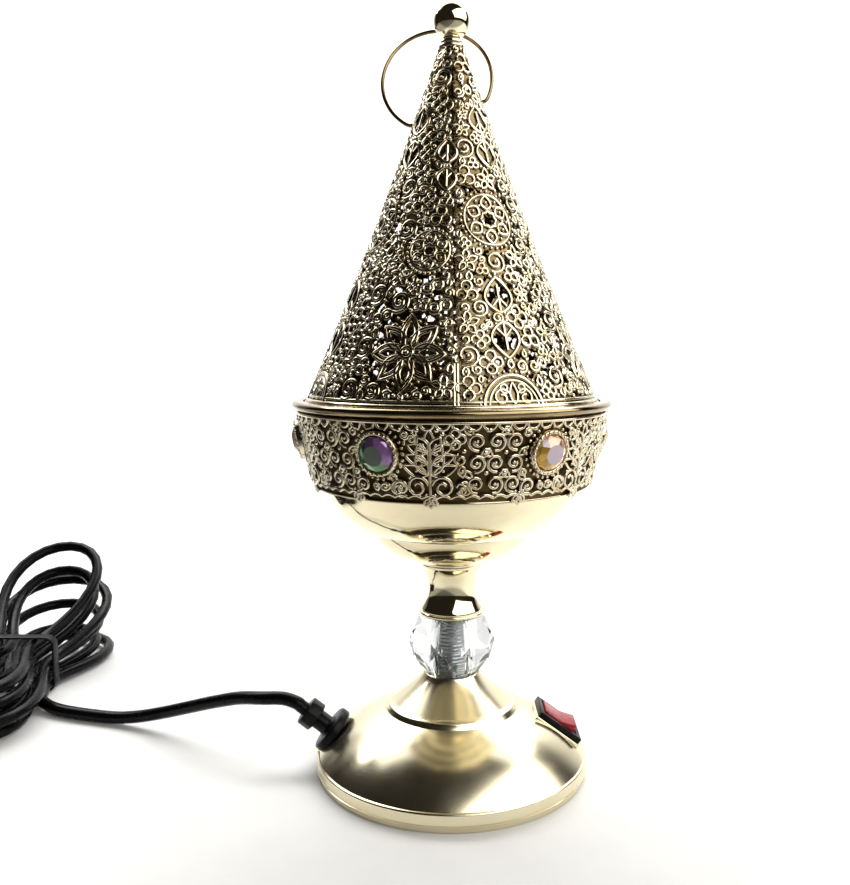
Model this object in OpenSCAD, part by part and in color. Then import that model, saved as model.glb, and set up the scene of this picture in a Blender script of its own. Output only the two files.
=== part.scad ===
// Electric incense burner: a domed metal base with a rocker switch and a mains cord,
// a stem with a faceted glass bead, a two-tier bowl with a pierced gallery and six stones,
// and a pierced conical lid with a ball finial and a wire bail.
// Millimetres. The origin is under the middle of the base and +Z is up.
// The front is -Y, the switch is on the +X side and the cord leaves on the -X side.

/* [Base] */
// Radius of the foot lip
base_r = 46.7; // [45.5:0.1:50]
// Height of the top of the foot lip
lip_top = 6.1; // [5:0.1:7]
// Thickness of the pressed metal sheet
sheet = 0.9; // [0.7:0.05:1.1]
// Thickness of the bottom plate
plate_t = 1.2; // [1:0.1:1.6]
// Cross-section radius of the dome
dome_r = 50; // [46:0.5:56]
// Height of the dome above the foot lip
dome_rise = 15.9; // [15.4:0.1:16.4]
// Radius of the raised step round the neck
ring_r = 22.4; // [21.5:0.1:23.5]
// Height of that step
ring_step = 0.7; // [0.4:0.1:1.2]
// Radius of the neck under the bead
neck_r = 9.6; // [9.4:0.1:11]
// Height of the flared neck
neck_rise = 10.9; // [10:0.1:11.5]
// Shank diameter of a base screw
base_screw_d = 2.8; // [2.4:0.1:3.2]

/* [Stem] */
// Diameter of the threaded rod
rod_d = 9.8; // [8:0.1:10]
// Bore of the threaded rod for the wires
rod_bore = 6.4; // [5.4:0.1:7]
// Height of the glass bead
bead_h = 20.6; // [16:0.1:26]
// Widest radius of the glass bead
bead_r = 14.9; // [13:0.1:18]
// Facets round the bead
bead_facets = 10; // [8:1:14]
// Height of the column
column_h = 19.4; // [14:0.1:30]
// Radius of the column's end rings
column_r = 11.3; // [10:0.1:13]
// Radius of the column's waist
column_waist_r = 8.25; // [7:0.05:9.5]

/* [Bowl] */
// Radius of the boss under the bowl
boss_r = 12.8; // [11.5:0.1:15]
// Radius of the lower tier
tier1_r = 27.9; // [26:0.1:29.5]
// Height of the lower tier
tier1_h = 11; // [9:0.1:13]
// Radius of the upper tier
tier2_r = 43.4; // [42:0.1:45]
// Height of the upper tier
tier2_h = 15.9; // [14:0.1:19]
// Width of the bowl's lip
bowl_lip_w = 3; // [2.4:0.1:3.6]

/* [Gallery] */
// Height of the gallery wall
gallery_h = 24.5; // [22:0.1:30]
// How far the wall stands in from the bowl's lip
wall_in = 0.8; // [0.7:0.1:1.2]
// How far the wall leans out from foot to rim
gallery_flare = 4.8; // [4:0.1:5.5]
// Thickness of the filigree band
band_t = 1; // [0.8:0.1:1.2]
// Gap between the wall and the band
band_gap = 0.7; // [0.4:0.1:1]
// Number of stones
stone_n = 6; // [5:1:6]
// Diameter of a stone
stone_d = 11; // [9:0.1:12]
// Turn of the first stone from the +X side
stone_turn = 4.7; // [0:0.1:15]
// Height of the rim above the wall
rim_h = 2.7; // [2.4:0.1:3.4]

/* [Lid] */
// Height of the lid's cone
lid_h = 114.4; // [105:0.1:125]
// Radius at the top of the cone
lid_top_r = 3.9; // [3.7:0.1:4.4]
// How far the cone's side is drawn in at half height
lid_sag = 1.3; // [0:0.1:2]
// Medallions round the lowest row
medallions = 12; // [11:1:12]
// Diameter of a medallion opening
medallion_d = 11; // [8:0.5:12]
// Diameter of the ball finial
ball_d = 12; // [11:0.1:14]

/* [Bail] */
// Diameter of the bail's wire
bail_wire = 1.3; // [1:0.1:1.6]
// Radius of the hoop
bail_r = 18; // [17:0.1:22]
// Height of the bail's pivots below the top of the cone
bail_drop = 21.5; // [20:0.1:24]
// How much higher the right pivot is than the left one
bail_skew = 7; // [4:0.5:8]
// Lean of the hoop behind the ball
bail_lean = 17; // [17:0.5:25]

/* [Heater] */
// Radius of the ceramic heater cup
cup_r = 18; // [16:0.1:19]
// Height of the heater cup below the deck
cup_depth = 9; // [7:0.1:10]
// Radius of the heater plate
heater_r = 23; // [21.5:0.1:26]
// Radius of the incense dish at its rim
dish_r = 22; // [19:0.1:26]
// Height of the incense dish
dish_h = 9; // [7:0.1:12]

/* [Switch] */
// Length of the switch bezel
bezel_l = 17; // [16.6:0.1:17.4]
// Width of the switch bezel
bezel_w = 14.5; // [14.1:0.1:14.9]
// Thickness of the bezel
bezel_t = 2; // [1.6:0.1:2.4]
// Depth of the switch body under the bezel
switch_depth = 8.5; // [8:0.1:8.8]
// How far the rocker tips to each side
rocker_tip = 9; // [7:0.5:10]
// Upward tilt of the switch
switch_tilt = 54; // [53:0.5:55]

/* [Cord] */
// Diameter of the cord
cord_d = 4.7; // [4.5:0.1:4.8]
// Flange diameter of the cord bushing
flange_d = 16; // [14:0.5:17]
// How high the last loop springs up at the back
hank_lift = 32; // [20:1:40]

/* [Hidden] */
$fn = 64;
// Clearance round a fixed piece in its hole, and round a moving one
fit = 0.1;
run_fit = 0.4;
// How far a cut runs past the faces it opens, and how far one reaches out of the part
past = 1;
reach = 20;

// Colours
gold = [0.83, 0.72, 0.49];
satin_gold = [0.78, 0.66, 0.42];
steel = [0.62, 0.63, 0.65];
black = [0.06, 0.06, 0.07];
glass = [0.86, 0.92, 0.95];
ceramic = [0.93, 0.91, 0.86];

// Heights from the table up
ring_z = lip_top + dome_rise;
step_z = ring_z + ring_step;
neck_z = step_z + neck_rise;
column_z = neck_z + bead_h;
bowl_z = column_z + column_h;
tier2_z = bowl_z + tier1_h;
bowl_lip_z = tier2_z + tier2_h;
wall_top = bowl_lip_z + gallery_h;

// Lip of the base, and the dome's arc from the lip to the step
lip_bevel = 0.5;
foot_in = 0.9;
dome_foot = [base_r - foot_in, lip_top];
dome_centre = arc_centre(dome_foot, [ring_r, ring_z], dome_r);

neck_curve = 0.85;
neck_steps = 6;
neck_radii = [for (i = [0:neck_steps]) ring_r + (neck_r - ring_r) * i / neck_steps];

// Screws and lugs under the base
base_screw_n = 3;
base_screw_r = base_r - 6.2;
base_screw_l = 4;
lug_turn = 14;
lug_depth = 4.5;
lug_h = 3.4;
lug_t = 1.2;

// Rod, nuts and washers
rod_hole_r = rod_d / 2 + fit;
nut_flats = 14;
nut_h = 4;
washer_t = 1;
washer_r = 8;
rod_spare = 3;
lower_washer_z = neck_z - sheet - washer_t;
upper_washer_z = bowl_z + sheet;
rod_z = lower_washer_z - nut_h - rod_spare;
rod_top = upper_washer_z + washer_t + nut_h + rod_spare;

// Rings of the bead's corners: radius and share of the height
bead_rings = [[neck_r - 0.3, 0], [bead_r - 1.4, 0.28], [bead_r, 0.53], [bead_r - 0.8, 0.74],
    [column_r - 0.6, 1]];

// Column
column_ring_h = 1.4;
column_neck_r = column_r - 0.6;
column_steps = 10;
column_curve = 2.2;

// Bowl tiers, each an arc
boss_h = 0.2;
tier1_arc_r = 17.7;
tier2_arc_r = 23.1;
tier_step = 2.1;
bowl_lip_r = tier2_r + bowl_lip_w;
tier1_foot = [boss_r, bowl_z + boss_h];
tier1_end = [tier1_r, tier2_z];
tier2_foot = [tier1_r + tier_step, tier2_z];
tier2_end = [tier2_r, bowl_lip_z - sheet];

// Gallery
wall_r = bowl_lip_r - wall_in;
deck_t = 0.8;
deck_top = bowl_lip_z + deck_t;
wall_foot_in = 2.4;
band_foot = 1;
stone_up = 14.3;
stone_z = bowl_lip_z + stone_up;
gallery_lean = atan(gallery_flare / gallery_h);
setting_wall = 1.4;
setting_proud = 1.2;
stone_seat = band_t - 0.4;
stone_crown = 2;
stone_table = 0.55;
petal_d = 3;
petal_at = 5.4;
heart_d = 5;
leaf_turn = 3.5;
leaf_at = 8;
scallop_d = 7;
scallop_turn = 8;
scallop_up = 1.2;
ledge_t = 1;
ledge_w = 2.4;
ledge_z = wall_top + ledge_t;
rim_bead_r = rim_h / 2;
rim_proud = 0.8;
rim_flat = 0.9;
rim_r = wall_r + gallery_flare + band_gap + band_t + rim_proud;
rim_seat_r = rim_r - rim_h - rim_flat;

// Lid
hem_h = 1.6;
hem_w = 1.8;
hem_r = rim_seat_r - run_fit;
lid_z = ledge_z + hem_h;
lid_top = lid_z + lid_h;
hem_edge = 0.5;
lid_foot_r = hem_r - hem_edge;
lid_t = 0.95;
lid_steps = 6;
lid_rows = 5;
lid_first_row = 11.4;
lid_row_step = 18.5;
lid_row_fewer = 2;
medallion_less_d = 0.5;
eyelet_d = 4.5;
eyelet_drop = 0.3 * lid_row_step;
finial_collar_h = 1.6;
finial_collar_r = lid_top_r - 0.3;
ball_sink = 0.3;
ball_z = lid_top + finial_collar_h + ball_d / 2 - ball_sink;
stud_d = 3;
stud_reach = 9;
stud_in_ball = 4;
finial_washer_t = 1;
finial_washer_z = lid_top - 5.5;
finial_nut_h = 2.4;
finial_nut_flats = 5.5;

// Bail pivots, in the middle of the lid's wall
pivot_z = lid_top - bail_drop;
pivot_left = [-(lid_r(pivot_z - bail_skew / 2) - lid_t / 2), 0, pivot_z - bail_skew / 2];
pivot_right = [lid_r(pivot_z + bail_skew / 2) - lid_t / 2, 0, pivot_z + bail_skew / 2];
bail_half = norm(pivot_right - pivot_left) / 2;
bail_out = 1.6;
bail_in = 2;
bail_slope = asin(bail_skew / (2 * bail_half));
bail_rise = sqrt(pow(bail_r, 2) - pow(bail_half + bail_out, 2));

// Heater
cup_flange_t = 1.5;
cup_flange_r = cup_r + 4;
cup_wall = 3;
cup_floor = 2;
cup_z = deck_top - cup_depth;
heater_z = deck_top + cup_flange_t;
heater_t = 1.5;
element_h = 6;
element_gap = 0.3;
tab_x = 6;
tab_r = 1.2;
heater_screw_r = cup_r + 2;
heater_screw_d = 1.8;
heater_screw_end = 2;
heater_screw_head = 1;
dish_z = heater_z + heater_t;
dish_t = 0.8;
dish_flare = 8;
dish_foot_r = dish_r - dish_flare;
dish_rim = 1.5;
dish_side = 0.4;

// Switch, in its own frame: x runs down the slope, z points out of the pad
switch_sink = 0.1;
pad_edge = 0.5;
pad_depth = 3;
bezel_edge = 1.1;
bezel_face = 2.5;
bezel = [bezel_l, bezel_w];
pad = bezel + 2 * [pad_edge, pad_edge];
switch_body = bezel - 2 * [bezel_edge, bezel_edge];
rocker_size = bezel - 2 * [bezel_face, bezel_face];
rocker_gap = 0.3;
rocker_crown = 3.6;
rocker_dip = 1;
rocker_pivot_z = -1;
rocker_pin_r = 1;
rocker_pin_out = 0.5;
rocker_root = 3;
rocker_edge = 0.5;
rocker_depth = 4;
rocker_well = 7;
rocker_sweep = 0.8;
rocker_slot = rocker_size + 2 * [rocker_sweep, rocker_gap];
rocker_bore_l = rocker_size[1] + 2 * rocker_pin_out + 4 * fit;
blade_x = 4.5;
blade = [0.8, 4.8, 3];

// Cord bushing, along its own axis from its seat on the dome
bushing_tilt = 38;
bushing_in = 5.5;
bushing_up = 4.8;
bushing_at = [bushing_in - dome_foot[0], 0, lip_top + bushing_up];
seat_r = flange_d / 2 + 0.4;
flange_t = 3.5;
bushing_neck_d = 6.6;
bushing_neck_h = 5;
collar_d = 9.6;
collar_h = 5;
collar_sides = 8;
barrel_d = 9.6;
barrel_reach = 5;
barb_d = 11.2;
barb_h = 1.4;
barb_gap = 0.9;
bushing_end = flange_t + bushing_neck_h + collar_h;
cord_end_at = -9.4;
cord_hole_r = cord_d / 2 + fit;

// Cord route: out of the bushing, down to the table and back to the hank
bushing_axis = [-cos(bushing_tilt), 0, sin(bushing_tilt)];
cord_exit = bushing_at + bushing_end * bushing_axis;
hank_layer_loops = 1.5;
hank_loops = 5.5;
hank_x = -184;
hank_y = 66;
hank_end_run = 6;
hank_half_length = 62;
hank_waist = 13;
hank_swell = 40;
hank_round = 0.45;
hank_step = 5.6;
hank_layer_h = 5.4;
hank_low = 2.4;
hank_tie_room = 1.4;
hank_rings = 24;
hank_spare = 1 / hank_rings;
hank_way_in = hank_heading(-hank_spare);
hank_way_out = hank_heading(hank_loops + hank_spare);
hank_start = hank_point(-hank_spare) - hank_end_run * hank_way_in;
hank_finish = hank_point(hank_loops + hank_spare) + hank_end_run * hank_way_out;
lead_route = [cord_exit, cord_exit + 2 * bushing_axis, cord_exit + 4 * bushing_axis, [-59, 0.8, 22.9],
    [-66, 2, 22.5],
    [-76, 7, 20.5], [-87, 13, 16.5], [-98, 19, 12], [-109, 25, 7.5], [-120, 29, 4.2],
    [-130, 31.8, 2.6], [-140, 34.4, 2.4], [-148, 36.8, 2.4], [-155, 39.6, 2.4], [-161, 43.4, 2.6],
    hank_start - 5 * hank_way_in, hank_start];
tail_route = [hank_finish, hank_finish + 6 * hank_way_out, [-204, 38, 20.2], [-208.5, 30.5, 19.4],
    [-214.5, 24.5, 16.8], [-222, 21, 13.4], [-230, 20.5, 10.4], [-237.5, 24, 8.1],
    [-242.5, 30, 6.9], [-245, 37.5, 6.5], [-245, 45, 6.5]];

// Tie round the hank's waist
tie_room = 0.5;
tie_w = 5;
tie_t = 0.8;
tie_round = 3;
tie_layers = 3;

// Plug
plug_at = tail_route[len(tail_route) - 1];
plug_sleeve = 14;
plug_body_l = 34;
plug_body_t = 2 * plug_at[2];
plug_w = 26;
plug_shoulder_w = 10;
plug_shoulder_l = 8;
sleeve_d = [cord_d + 1.6, 9];
pin_d = 4;
pin_l = 19;
pin_pitch = 18.6;

// Wires inside
wire_d = 1.9;
wire_sides = 8;
wire_x = 1.4;
wire_rise = 7;
wire_apart = [0, 1.2, 0];
wire_foot = bushing_at + cord_end_at * bushing_axis;
wire_start = [for (d = [0, 1.5, 3]) wire_foot - d * bushing_axis];
heater_wire_top = [[wire_x, 0, rod_z], [wire_x, 0, rod_top - 2], [wire_x, 0, rod_top + 1],
    [tab_x * 0.6, 0, rod_top + 0.6 * wire_rise], [tab_x, 0, rod_top + wire_rise],
    [tab_x, 0, cup_z + cup_floor]];
neutral_route = concat([for (p = wire_start) p + wire_apart],
    [[-22, 1.2, 4.5], [-13, 1.2, 7], [-6, 1, 12], [-2.4, 0.6, 18]], [for (p = heater_wire_top) [-p[0], p[1], p[2]]]);
supply_end = switch_point([blade_x, -blade[1] / 2 - fit, -switch_depth - blade[2] / 2]);
supply_route = concat([for (p = wire_start) p - wire_apart], [[-20, -5, 4], [-8, -11, 4], [6, -15, 4],
    [18, -16.5, 4.2], [26, -14.5, 4.6], supply_end - [0.4, 8, 0], supply_end - [0, 4, 0], supply_end]);
live_start = switch_point([-blade_x, blade[1] / 2 + fit, -switch_depth - blade[2] / 2]);
live_route = concat([live_start, live_start + [0, 4, 0], [21, 10.5, 11.8], [15, 12, 13], [8, 8.5, 15],
    [3.6, 3.5, 18.5]], heater_wire_top);

// Outlines

// Centre of the arc of radius r from a to b that bulges to the right of the way from a to b
function arc_centre(a, b, r) =
    let (half = norm(b - a) / 2, way = (b - a) / norm(b - a))
    (a + b) / 2 + sqrt(r * r - half * half) * [-way[1], way[0]];
function direction(from, to) = atan2(to[1] - from[1], to[0] - from[0]);
// Points on an arc, n steps from angle a0 to a1
function arc_points(centre, r, a0, a1, n = 8) =
    [for (i = [0:n]) centre + r * [cos(a0 + (a1 - a0) * i / n), sin(a0 + (a1 - a0) * i / n)]];
// Points on the arc from a to b, moved inwards by inset
function arc_from_to(a, b, r, inset = 0) =
    let (c = arc_centre(a, b, r))
    arc_points(c, r - inset, direction(c, a), direction(c, b));
function reversed(list) = [for (i = [len(list) - 1:-1:0]) list[i]];

// Height of the flared neck at a radius
function neck_height(r) =
    neck_z - neck_rise * pow(max(0, (r - neck_r) / (ring_r - neck_r)), neck_curve);
// Radius of the lid at a height
function lid_r(z) =
    let (s = (z - lid_z) / lid_h)
    lid_foot_r + (lid_top_r - lid_foot_r) * s - 4 * lid_sag * s * (1 - s);
// Outer radius of the gallery wall at a height
function wall_out(z) = wall_r + gallery_flare * (z - bowl_lip_z) / gallery_h;
// A point of the switch's frame in the frame of the part
function switch_point(p) =
    let (out = [cos(switch_tilt), sin(switch_tilt)], down = [sin(switch_tilt), -cos(switch_tilt)],
        at = dome_centre + (dome_r - switch_sink + p[2]) * out + p[0] * down)
    [at[0], p[1], at[1]];

// Cords and wires

function unit(v) = v / norm(v);
// A smooth curve through points, with n steps between each two
function curve_point(a, b, c, d, s) =
    0.5 * ((2 * b) + (c - a) * s + (2 * a - 5 * b + 4 * c - d) * s * s
    + (3 * b - a - 3 * c + d) * s * s * s);
function smooth(p, n = 2) =
    let (last = len(p) - 1)
    concat([for (i = [0:last - 1], k = [0:n - 1])
        curve_point(p[max(0, i - 1)], p[i], p[i + 1], p[min(last, i + 2)], k / n)], [p[last]]);
function heading(p, i) = unit(p[min(i + 1, len(p) - 1)] - p[max(i - 1, 0)]);
// The sideways direction at each point, carried along without twisting
function carried(side, way) = unit(side - way * (side * way));
function sides_along(p, first) =
    [for (i = 0, s = carried(first, heading(p, 0)); i < len(p);
        i = i + 1, s = i < len(p) ? carried(s, heading(p, i)) : s) s];

module tube(p, d, sides, first = [0, 1, 0]) {
    across = sides_along(p, first);
    last = len(p) - 1;
    points = [for (i = [0:last], k = [0:sides - 1])
        let (up = cross(heading(p, i), across[i]), a = 360 * k / sides)
        p[i] + d / 2 * (cos(a) * across[i] + sin(a) * up)];
    walls = [for (i = [0:last - 1], k = [0:sides - 1])
        let (j = (k + 1) % sides, a = i * sides + k, b = i * sides + j)
        each [[a, a + sides, b], [b, a + sides, b + sides]]];
    ends = [for (k = [1:sides - 2]) each [[0, k, k + 1],
        [last * sides, last * sides + k + 1, last * sides + k]]];
    polyhedron(points, concat(walls, ends));
}

// Hank: loops that spiral in and out, layer by layer, drawn in at the waist.
// At t loops from its start it is at the right of the waist when t is whole.
function eased(s) = let (c = min(1, max(0, s))) c * c * (3 - 2 * c);
function spiral_in(t) = hank_layer_loops - abs(hank_layer_loops - t % (2 * hank_layer_loops));
function layers_up(t, k = 1) =
    k * hank_layer_loops >= hank_loops ? 0
    : eased((t - k * hank_layer_loops) / 0.5 + 0.5) + layers_up(t, k + 1);
// The outermost loop, seen from above, at an angle from the right of the waist
function outer_loop(a) = [cos(a) * (hank_waist + hank_swell * pow(sin(a), 2)),
    hank_half_length * sin(a) * (1 - hank_round * pow(cos(a), 2))];
function hank_point(t) =
    let (a = 360 * t, way = unit(outer_loop(a + 0.5) - outer_loop(a - 0.5)),
        flat = outer_loop(a) + hank_step * spiral_in(t) * [-way[1], way[0]], back = max(0, sin(a)))
    [hank_x + flat[0], hank_y + flat[1],
     hank_low + hank_tie_room * pow(cos(a), 2) + hank_layer_h * layers_up(t)
     + hank_lift * t / hank_loops * back * back];
// Level direction of the hank at an end
function hank_heading(t) =
    let (way = hank_point(t + 0.002) - hank_point(t - 0.002)) unit([way[0], way[1], 0]);
hank_points = concat([hank_start],
    [for (i = [-1:hank_rings * hank_loops + 1]) hank_point(i / hank_rings)], [hank_finish]);

// Least distance between stretches of a line that aren't next to each other
function to_stretch(p, a, b) =
    let (s = min(1, max(0, (p - a) * (b - a) / ((b - a) * (b - a))))) norm(p - a - s * (b - a));
function nearest(p, apart) =
    min([for (i = [0:len(p) - 1 - apart], j = [i + apart:len(p) - 2]) to_stretch(p[i], p[j], p[j + 1])]);
function length_of(p, i = 0) = i >= len(p) - 1 ? 0 : norm(p[i + 1] - p[i]) + length_of(p, i + 1);

// Frames

module switch_frame() translate(switch_point([0, 0, 0])) rotate([0, 90 - switch_tilt, 0]) children();
module bushing_frame(dist)
    translate(bushing_at + dist * bushing_axis) rotate([0, bushing_tilt - 90, 0]) children();
module on_band(turn, z) rotate([0, 0, turn])
    translate([wall_out(z) + band_gap, 0, z]) rotate([0, 90 + gallery_lean, 0]) children();
module each_stone(turn = 0)
    for (i = [0:stone_n - 1]) on_band(stone_turn + turn + i * 360 / stone_n, stone_z) children();
module on_lid(turn, z) rotate([0, 0, turn])
    translate([lid_r(z), 0, z]) rotate([0, 90 - atan(lid_foot_r / lid_h), 0]) children();
module bail_frame() translate((pivot_left + pivot_right) / 2)
    rotate([0, -bail_slope, 0]) rotate([-bail_lean, 0, 0]) children();
module plug_frame() translate(plug_at) rotate([0, 0, 90]) children();
module each_base_screw()
    for (i = [0:base_screw_n - 1]) rotate([0, 0, 90 + i * 360 / base_screw_n])
        translate([base_screw_r, 0, 0]) children();

// Repeated shapes

module block(size, z0, h) translate([-size[0] / 2, -size[1] / 2, z0]) cube([size[0], size[1], h]);
// A round hole from z = 0 up through a piece h thick
module hole(d, h) translate([0, 0, -past]) cylinder(d = d, h = h + 2 * past);
module hex_nut(flats, h, bore) difference() {
    cylinder(d = flats / cos(30), h = h, $fn = 6);
    hole(bore, h);
}
module washer(r, t, bore) difference() {
    cylinder(r = r, h = t);
    hole(bore, t);
}
module round_rect(w, h, r) {
    square([w - 2 * r, h], center = true);
    square([w, h - 2 * r], center = true);
    for (x = [-1, 1], y = [-1, 1]) translate([x * (w / 2 - r), y * (h / 2 - r)]) circle(r);
}

// Base

module base_solid() rotate_extrude() polygon(concat(
    [[0, plate_t], [base_r - lip_bevel, plate_t], [base_r, plate_t + lip_bevel],
     [base_r, lip_top - lip_bevel], [base_r - lip_bevel, lip_top]],
    arc_from_to(dome_foot, [ring_r, ring_z], dome_r),
    [for (r = neck_radii) [r, neck_height(r)]],
    [[0, neck_z]]));
module base_cavity() {
    low = asin((lip_top - sheet - dome_centre[1]) / (dome_r - sheet));
    high = acos((ring_r - sheet - dome_centre[0]) / (dome_r - sheet));
    rotate_extrude() polygon(concat(
        [[0, plate_t - past], [base_r - sheet, plate_t - past], [base_r - sheet, lip_top - sheet]],
        arc_points(dome_centre, dome_r - sheet, low, high),
        [for (r = neck_radii) [r - sheet, neck_height(r - sheet / 2) - sheet]],
        [[0, neck_z - sheet]]));
}
module base_shell() color(satin_gold) difference() {
    union() {
        base_solid();
        switch_frame() block(pad, -pad_depth, pad_depth);
    }
    switch_frame() block(pad, 0, reach);
    bushing_frame(0) cylinder(r = seat_r, h = reach);
    difference() {
        union() {
            base_cavity();
            switch_frame() block(pad - 2 * [sheet, sheet], -pad_depth, pad_depth);
        }
        switch_frame() block(pad, -sheet, reach);
        bushing_frame(-sheet) cylinder(r = seat_r + sheet, h = reach);
    }
    switch_frame() block(switch_body + 2 * [fit, fit], -sheet - past, sheet + 2 * past);
    bushing_frame(-sheet) hole(barrel_d + 2 * fit, sheet);
    translate([0, 0, neck_z - sheet]) hole(2 * rod_hole_r, sheet);
}
module base_plate() color(satin_gold) difference() {
    cylinder(r = base_r - lip_bevel, h = plate_t);
    each_base_screw() {
        cylinder(d1 = 2 * base_screw_d + 2 * fit, d2 = base_screw_d + 2 * fit, h = plate_t);
        hole(base_screw_d + 2 * fit, plate_t);
    }
}
module base_lugs() color(steel) difference() {
    out = base_r - sheet;
    in = base_screw_r - lug_depth;
    for (i = [0:base_screw_n - 1]) rotate([0, 0, 90 - lug_turn / 2 + i * 360 / base_screw_n])
        rotate_extrude(angle = lug_turn) translate([0, plate_t]) polygon([[in, 0], [out, 0],
            [out, lug_h], [out - lug_t, lug_h], [out - lug_t, lug_t], [in, lug_t]]);
    each_base_screw() hole(base_screw_d + 2 * fit, plate_t + lug_t);
}
module base_screws() color(steel) each_base_screw() {
    cylinder(d1 = 2 * base_screw_d, d2 = base_screw_d, h = plate_t);
    translate([0, 0, plate_t]) cylinder(d = base_screw_d, h = base_screw_l);
}

// Stem

module stem_rod() color(steel) translate([0, 0, rod_z]) difference() {
    cylinder(d = rod_d, h = rod_top - rod_z);
    hole(rod_bore, rod_top - rod_z);
}
module lower_washer() color(steel) translate([0, 0, lower_washer_z])
    washer(washer_r, washer_t, 2 * rod_hole_r);
module lower_nut() color(steel) translate([0, 0, lower_washer_z - nut_h])
    hex_nut(nut_flats, nut_h, 2 * rod_hole_r);
module upper_washer() color(steel) translate([0, 0, upper_washer_z])
    washer(washer_r, washer_t, 2 * rod_hole_r);
module upper_nut() color(steel) translate([0, 0, upper_washer_z + washer_t])
    hex_nut(nut_flats, nut_h, 2 * rod_hole_r);

// Rings of corners, each turned half a facet from the one below
module glass_bead() color(glass, 0.6) translate([0, 0, neck_z]) difference() {
    rings = len(bead_rings);
    n = bead_facets;
    points = [for (k = [0:rings - 1], i = [0:n - 1])
        let (a = 360 * (i + k / 2) / n)
        [bead_rings[k][0] * cos(a), bead_rings[k][0] * sin(a), bead_rings[k][1] * bead_h]];
    walls = [for (k = [0:rings - 2], i = [0:n - 1])
        let (j = (i + 1) % n, a = k * n, b = a + n)
        each [[a + i, b + i, a + j], [a + j, b + i, b + j]]];
    ends = [for (i = [1:n - 2]) each [[0, i, i + 1],
        [(rings - 1) * n, (rings - 1) * n + i + 1, (rings - 1) * n + i]]];
    polyhedron(points, concat(walls, ends));
    hole(2 * rod_hole_r, bead_h);
}

module column() color(gold) translate([0, 0, column_z])
    rotate_extrude() polygon(concat([[rod_hole_r, 0], [column_r, 0], [column_r, column_ring_h]],
        [for (i = [0:column_steps]) let (s = 2 * i / column_steps - 1)
            [column_waist_r + (column_neck_r - column_waist_r) * pow(abs(s), column_curve),
             column_h / 2 + s * (column_h / 2 - column_ring_h)]],
        [[column_r, column_h - column_ring_h], [column_r, column_h], [rod_hole_r, column_h]]));

// Bowl and gallery

module bowl() color(gold) rotate_extrude() polygon(concat(
    [[rod_hole_r, bowl_z], [boss_r, bowl_z]],
    arc_from_to(tier1_foot, tier1_end, tier1_arc_r),
    arc_from_to(tier2_foot, tier2_end, tier2_arc_r),
    [[bowl_lip_r, bowl_lip_z - sheet], [bowl_lip_r, bowl_lip_z], [tier2_r - sheet, bowl_lip_z]],
    reversed(arc_from_to(tier2_foot, tier2_end, tier2_arc_r, sheet)),
    reversed(arc_from_to(tier1_foot, tier1_end, tier1_arc_r, sheet)),
    [[washer_r + past, bowl_z + sheet], [rod_hole_r, bowl_z + sheet]]));
module deck_plate() color(steel) translate([0, 0, bowl_lip_z]) difference() {
    cylinder(r = wall_r - sheet - 2 * fit, h = deck_t);
    hole(2 * (cup_r + fit), deck_t);
    heater_screw_holes(deck_t);
}
module gallery_wall() color(gold) {
    foot_top = deck_top + sheet;
    rotate_extrude() polygon([[wall_r - sheet, bowl_lip_z], [wall_r, bowl_lip_z],
        [wall_out(wall_top), wall_top], [wall_out(wall_top) - sheet, wall_top],
        [wall_out(foot_top) - sheet, foot_top], [wall_r - wall_foot_in, foot_top],
        [wall_r - wall_foot_in, deck_top], [wall_r - sheet, deck_top]]);
}
// A hole through the band, whose face leaves a straight cut by less than its thickness
module band_hole(d) translate([0, 0, -band_t]) cylinder(d = d, h = 4 * band_t);
module gallery_band() color(gold) difference() {
    foot_z = bowl_lip_z + band_foot;
    lobe_turn = 180 / stone_n;
    rotate_extrude() translate([band_gap, 0]) polygon([[wall_out(foot_z), foot_z],
        [wall_out(foot_z) + band_t, foot_z], [wall_out(wall_top) + band_t, wall_top],
        [wall_out(wall_top), wall_top]]);
    each_stone() band_hole(stone_d + 2 * setting_wall + 2 * fit);
    // A palmette of openings between each two stones
    each_stone(lobe_turn) for (a = [100:40:260]) rotate([0, 0, a]) translate([petal_at, 0, 0])
        band_hole(petal_d);
    each_stone(lobe_turn) translate([1, 0, 0]) band_hole(heart_d);
    for (s = [-1, 1]) each_stone(lobe_turn + s * leaf_turn) translate([leaf_at, 0, 0]) band_hole(petal_d);
    // Scallops along the lower edge
    for (s = [-1, 1]) each_stone(lobe_turn + s * scallop_turn)
        translate([stone_z - foot_z + scallop_up, 0, 0]) band_hole(scallop_d);
}
module gallery_rim() color(gold) rotate_extrude() polygon(concat(
    [[rim_seat_r - ledge_w, wall_top]],
    arc_points([rim_r - rim_bead_r, wall_top + rim_bead_r], rim_bead_r, -90, 90, 10),
    [[rim_seat_r, wall_top + rim_h], [rim_seat_r, ledge_z], [rim_seat_r - ledge_w, ledge_z]]));
module stone_settings() color(gold) each_stone() difference() {
    cylinder(d = stone_d + 2 * setting_wall, h = band_t + setting_proud);
    translate([0, 0, stone_seat]) cylinder(d = stone_d + 2 * fit, h = band_t + setting_proud);
}
module stones() color([0.45, 0.5, 0.42]) each_stone() translate([0, 0, stone_seat]) {
    cylinder(d = stone_d, h = setting_proud, $fn = 12);
    translate([0, 0, setting_proud])
        cylinder(d1 = stone_d, d2 = stone_d * stone_table, h = stone_crown, $fn = 12);
}

// Heater and dish

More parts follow.
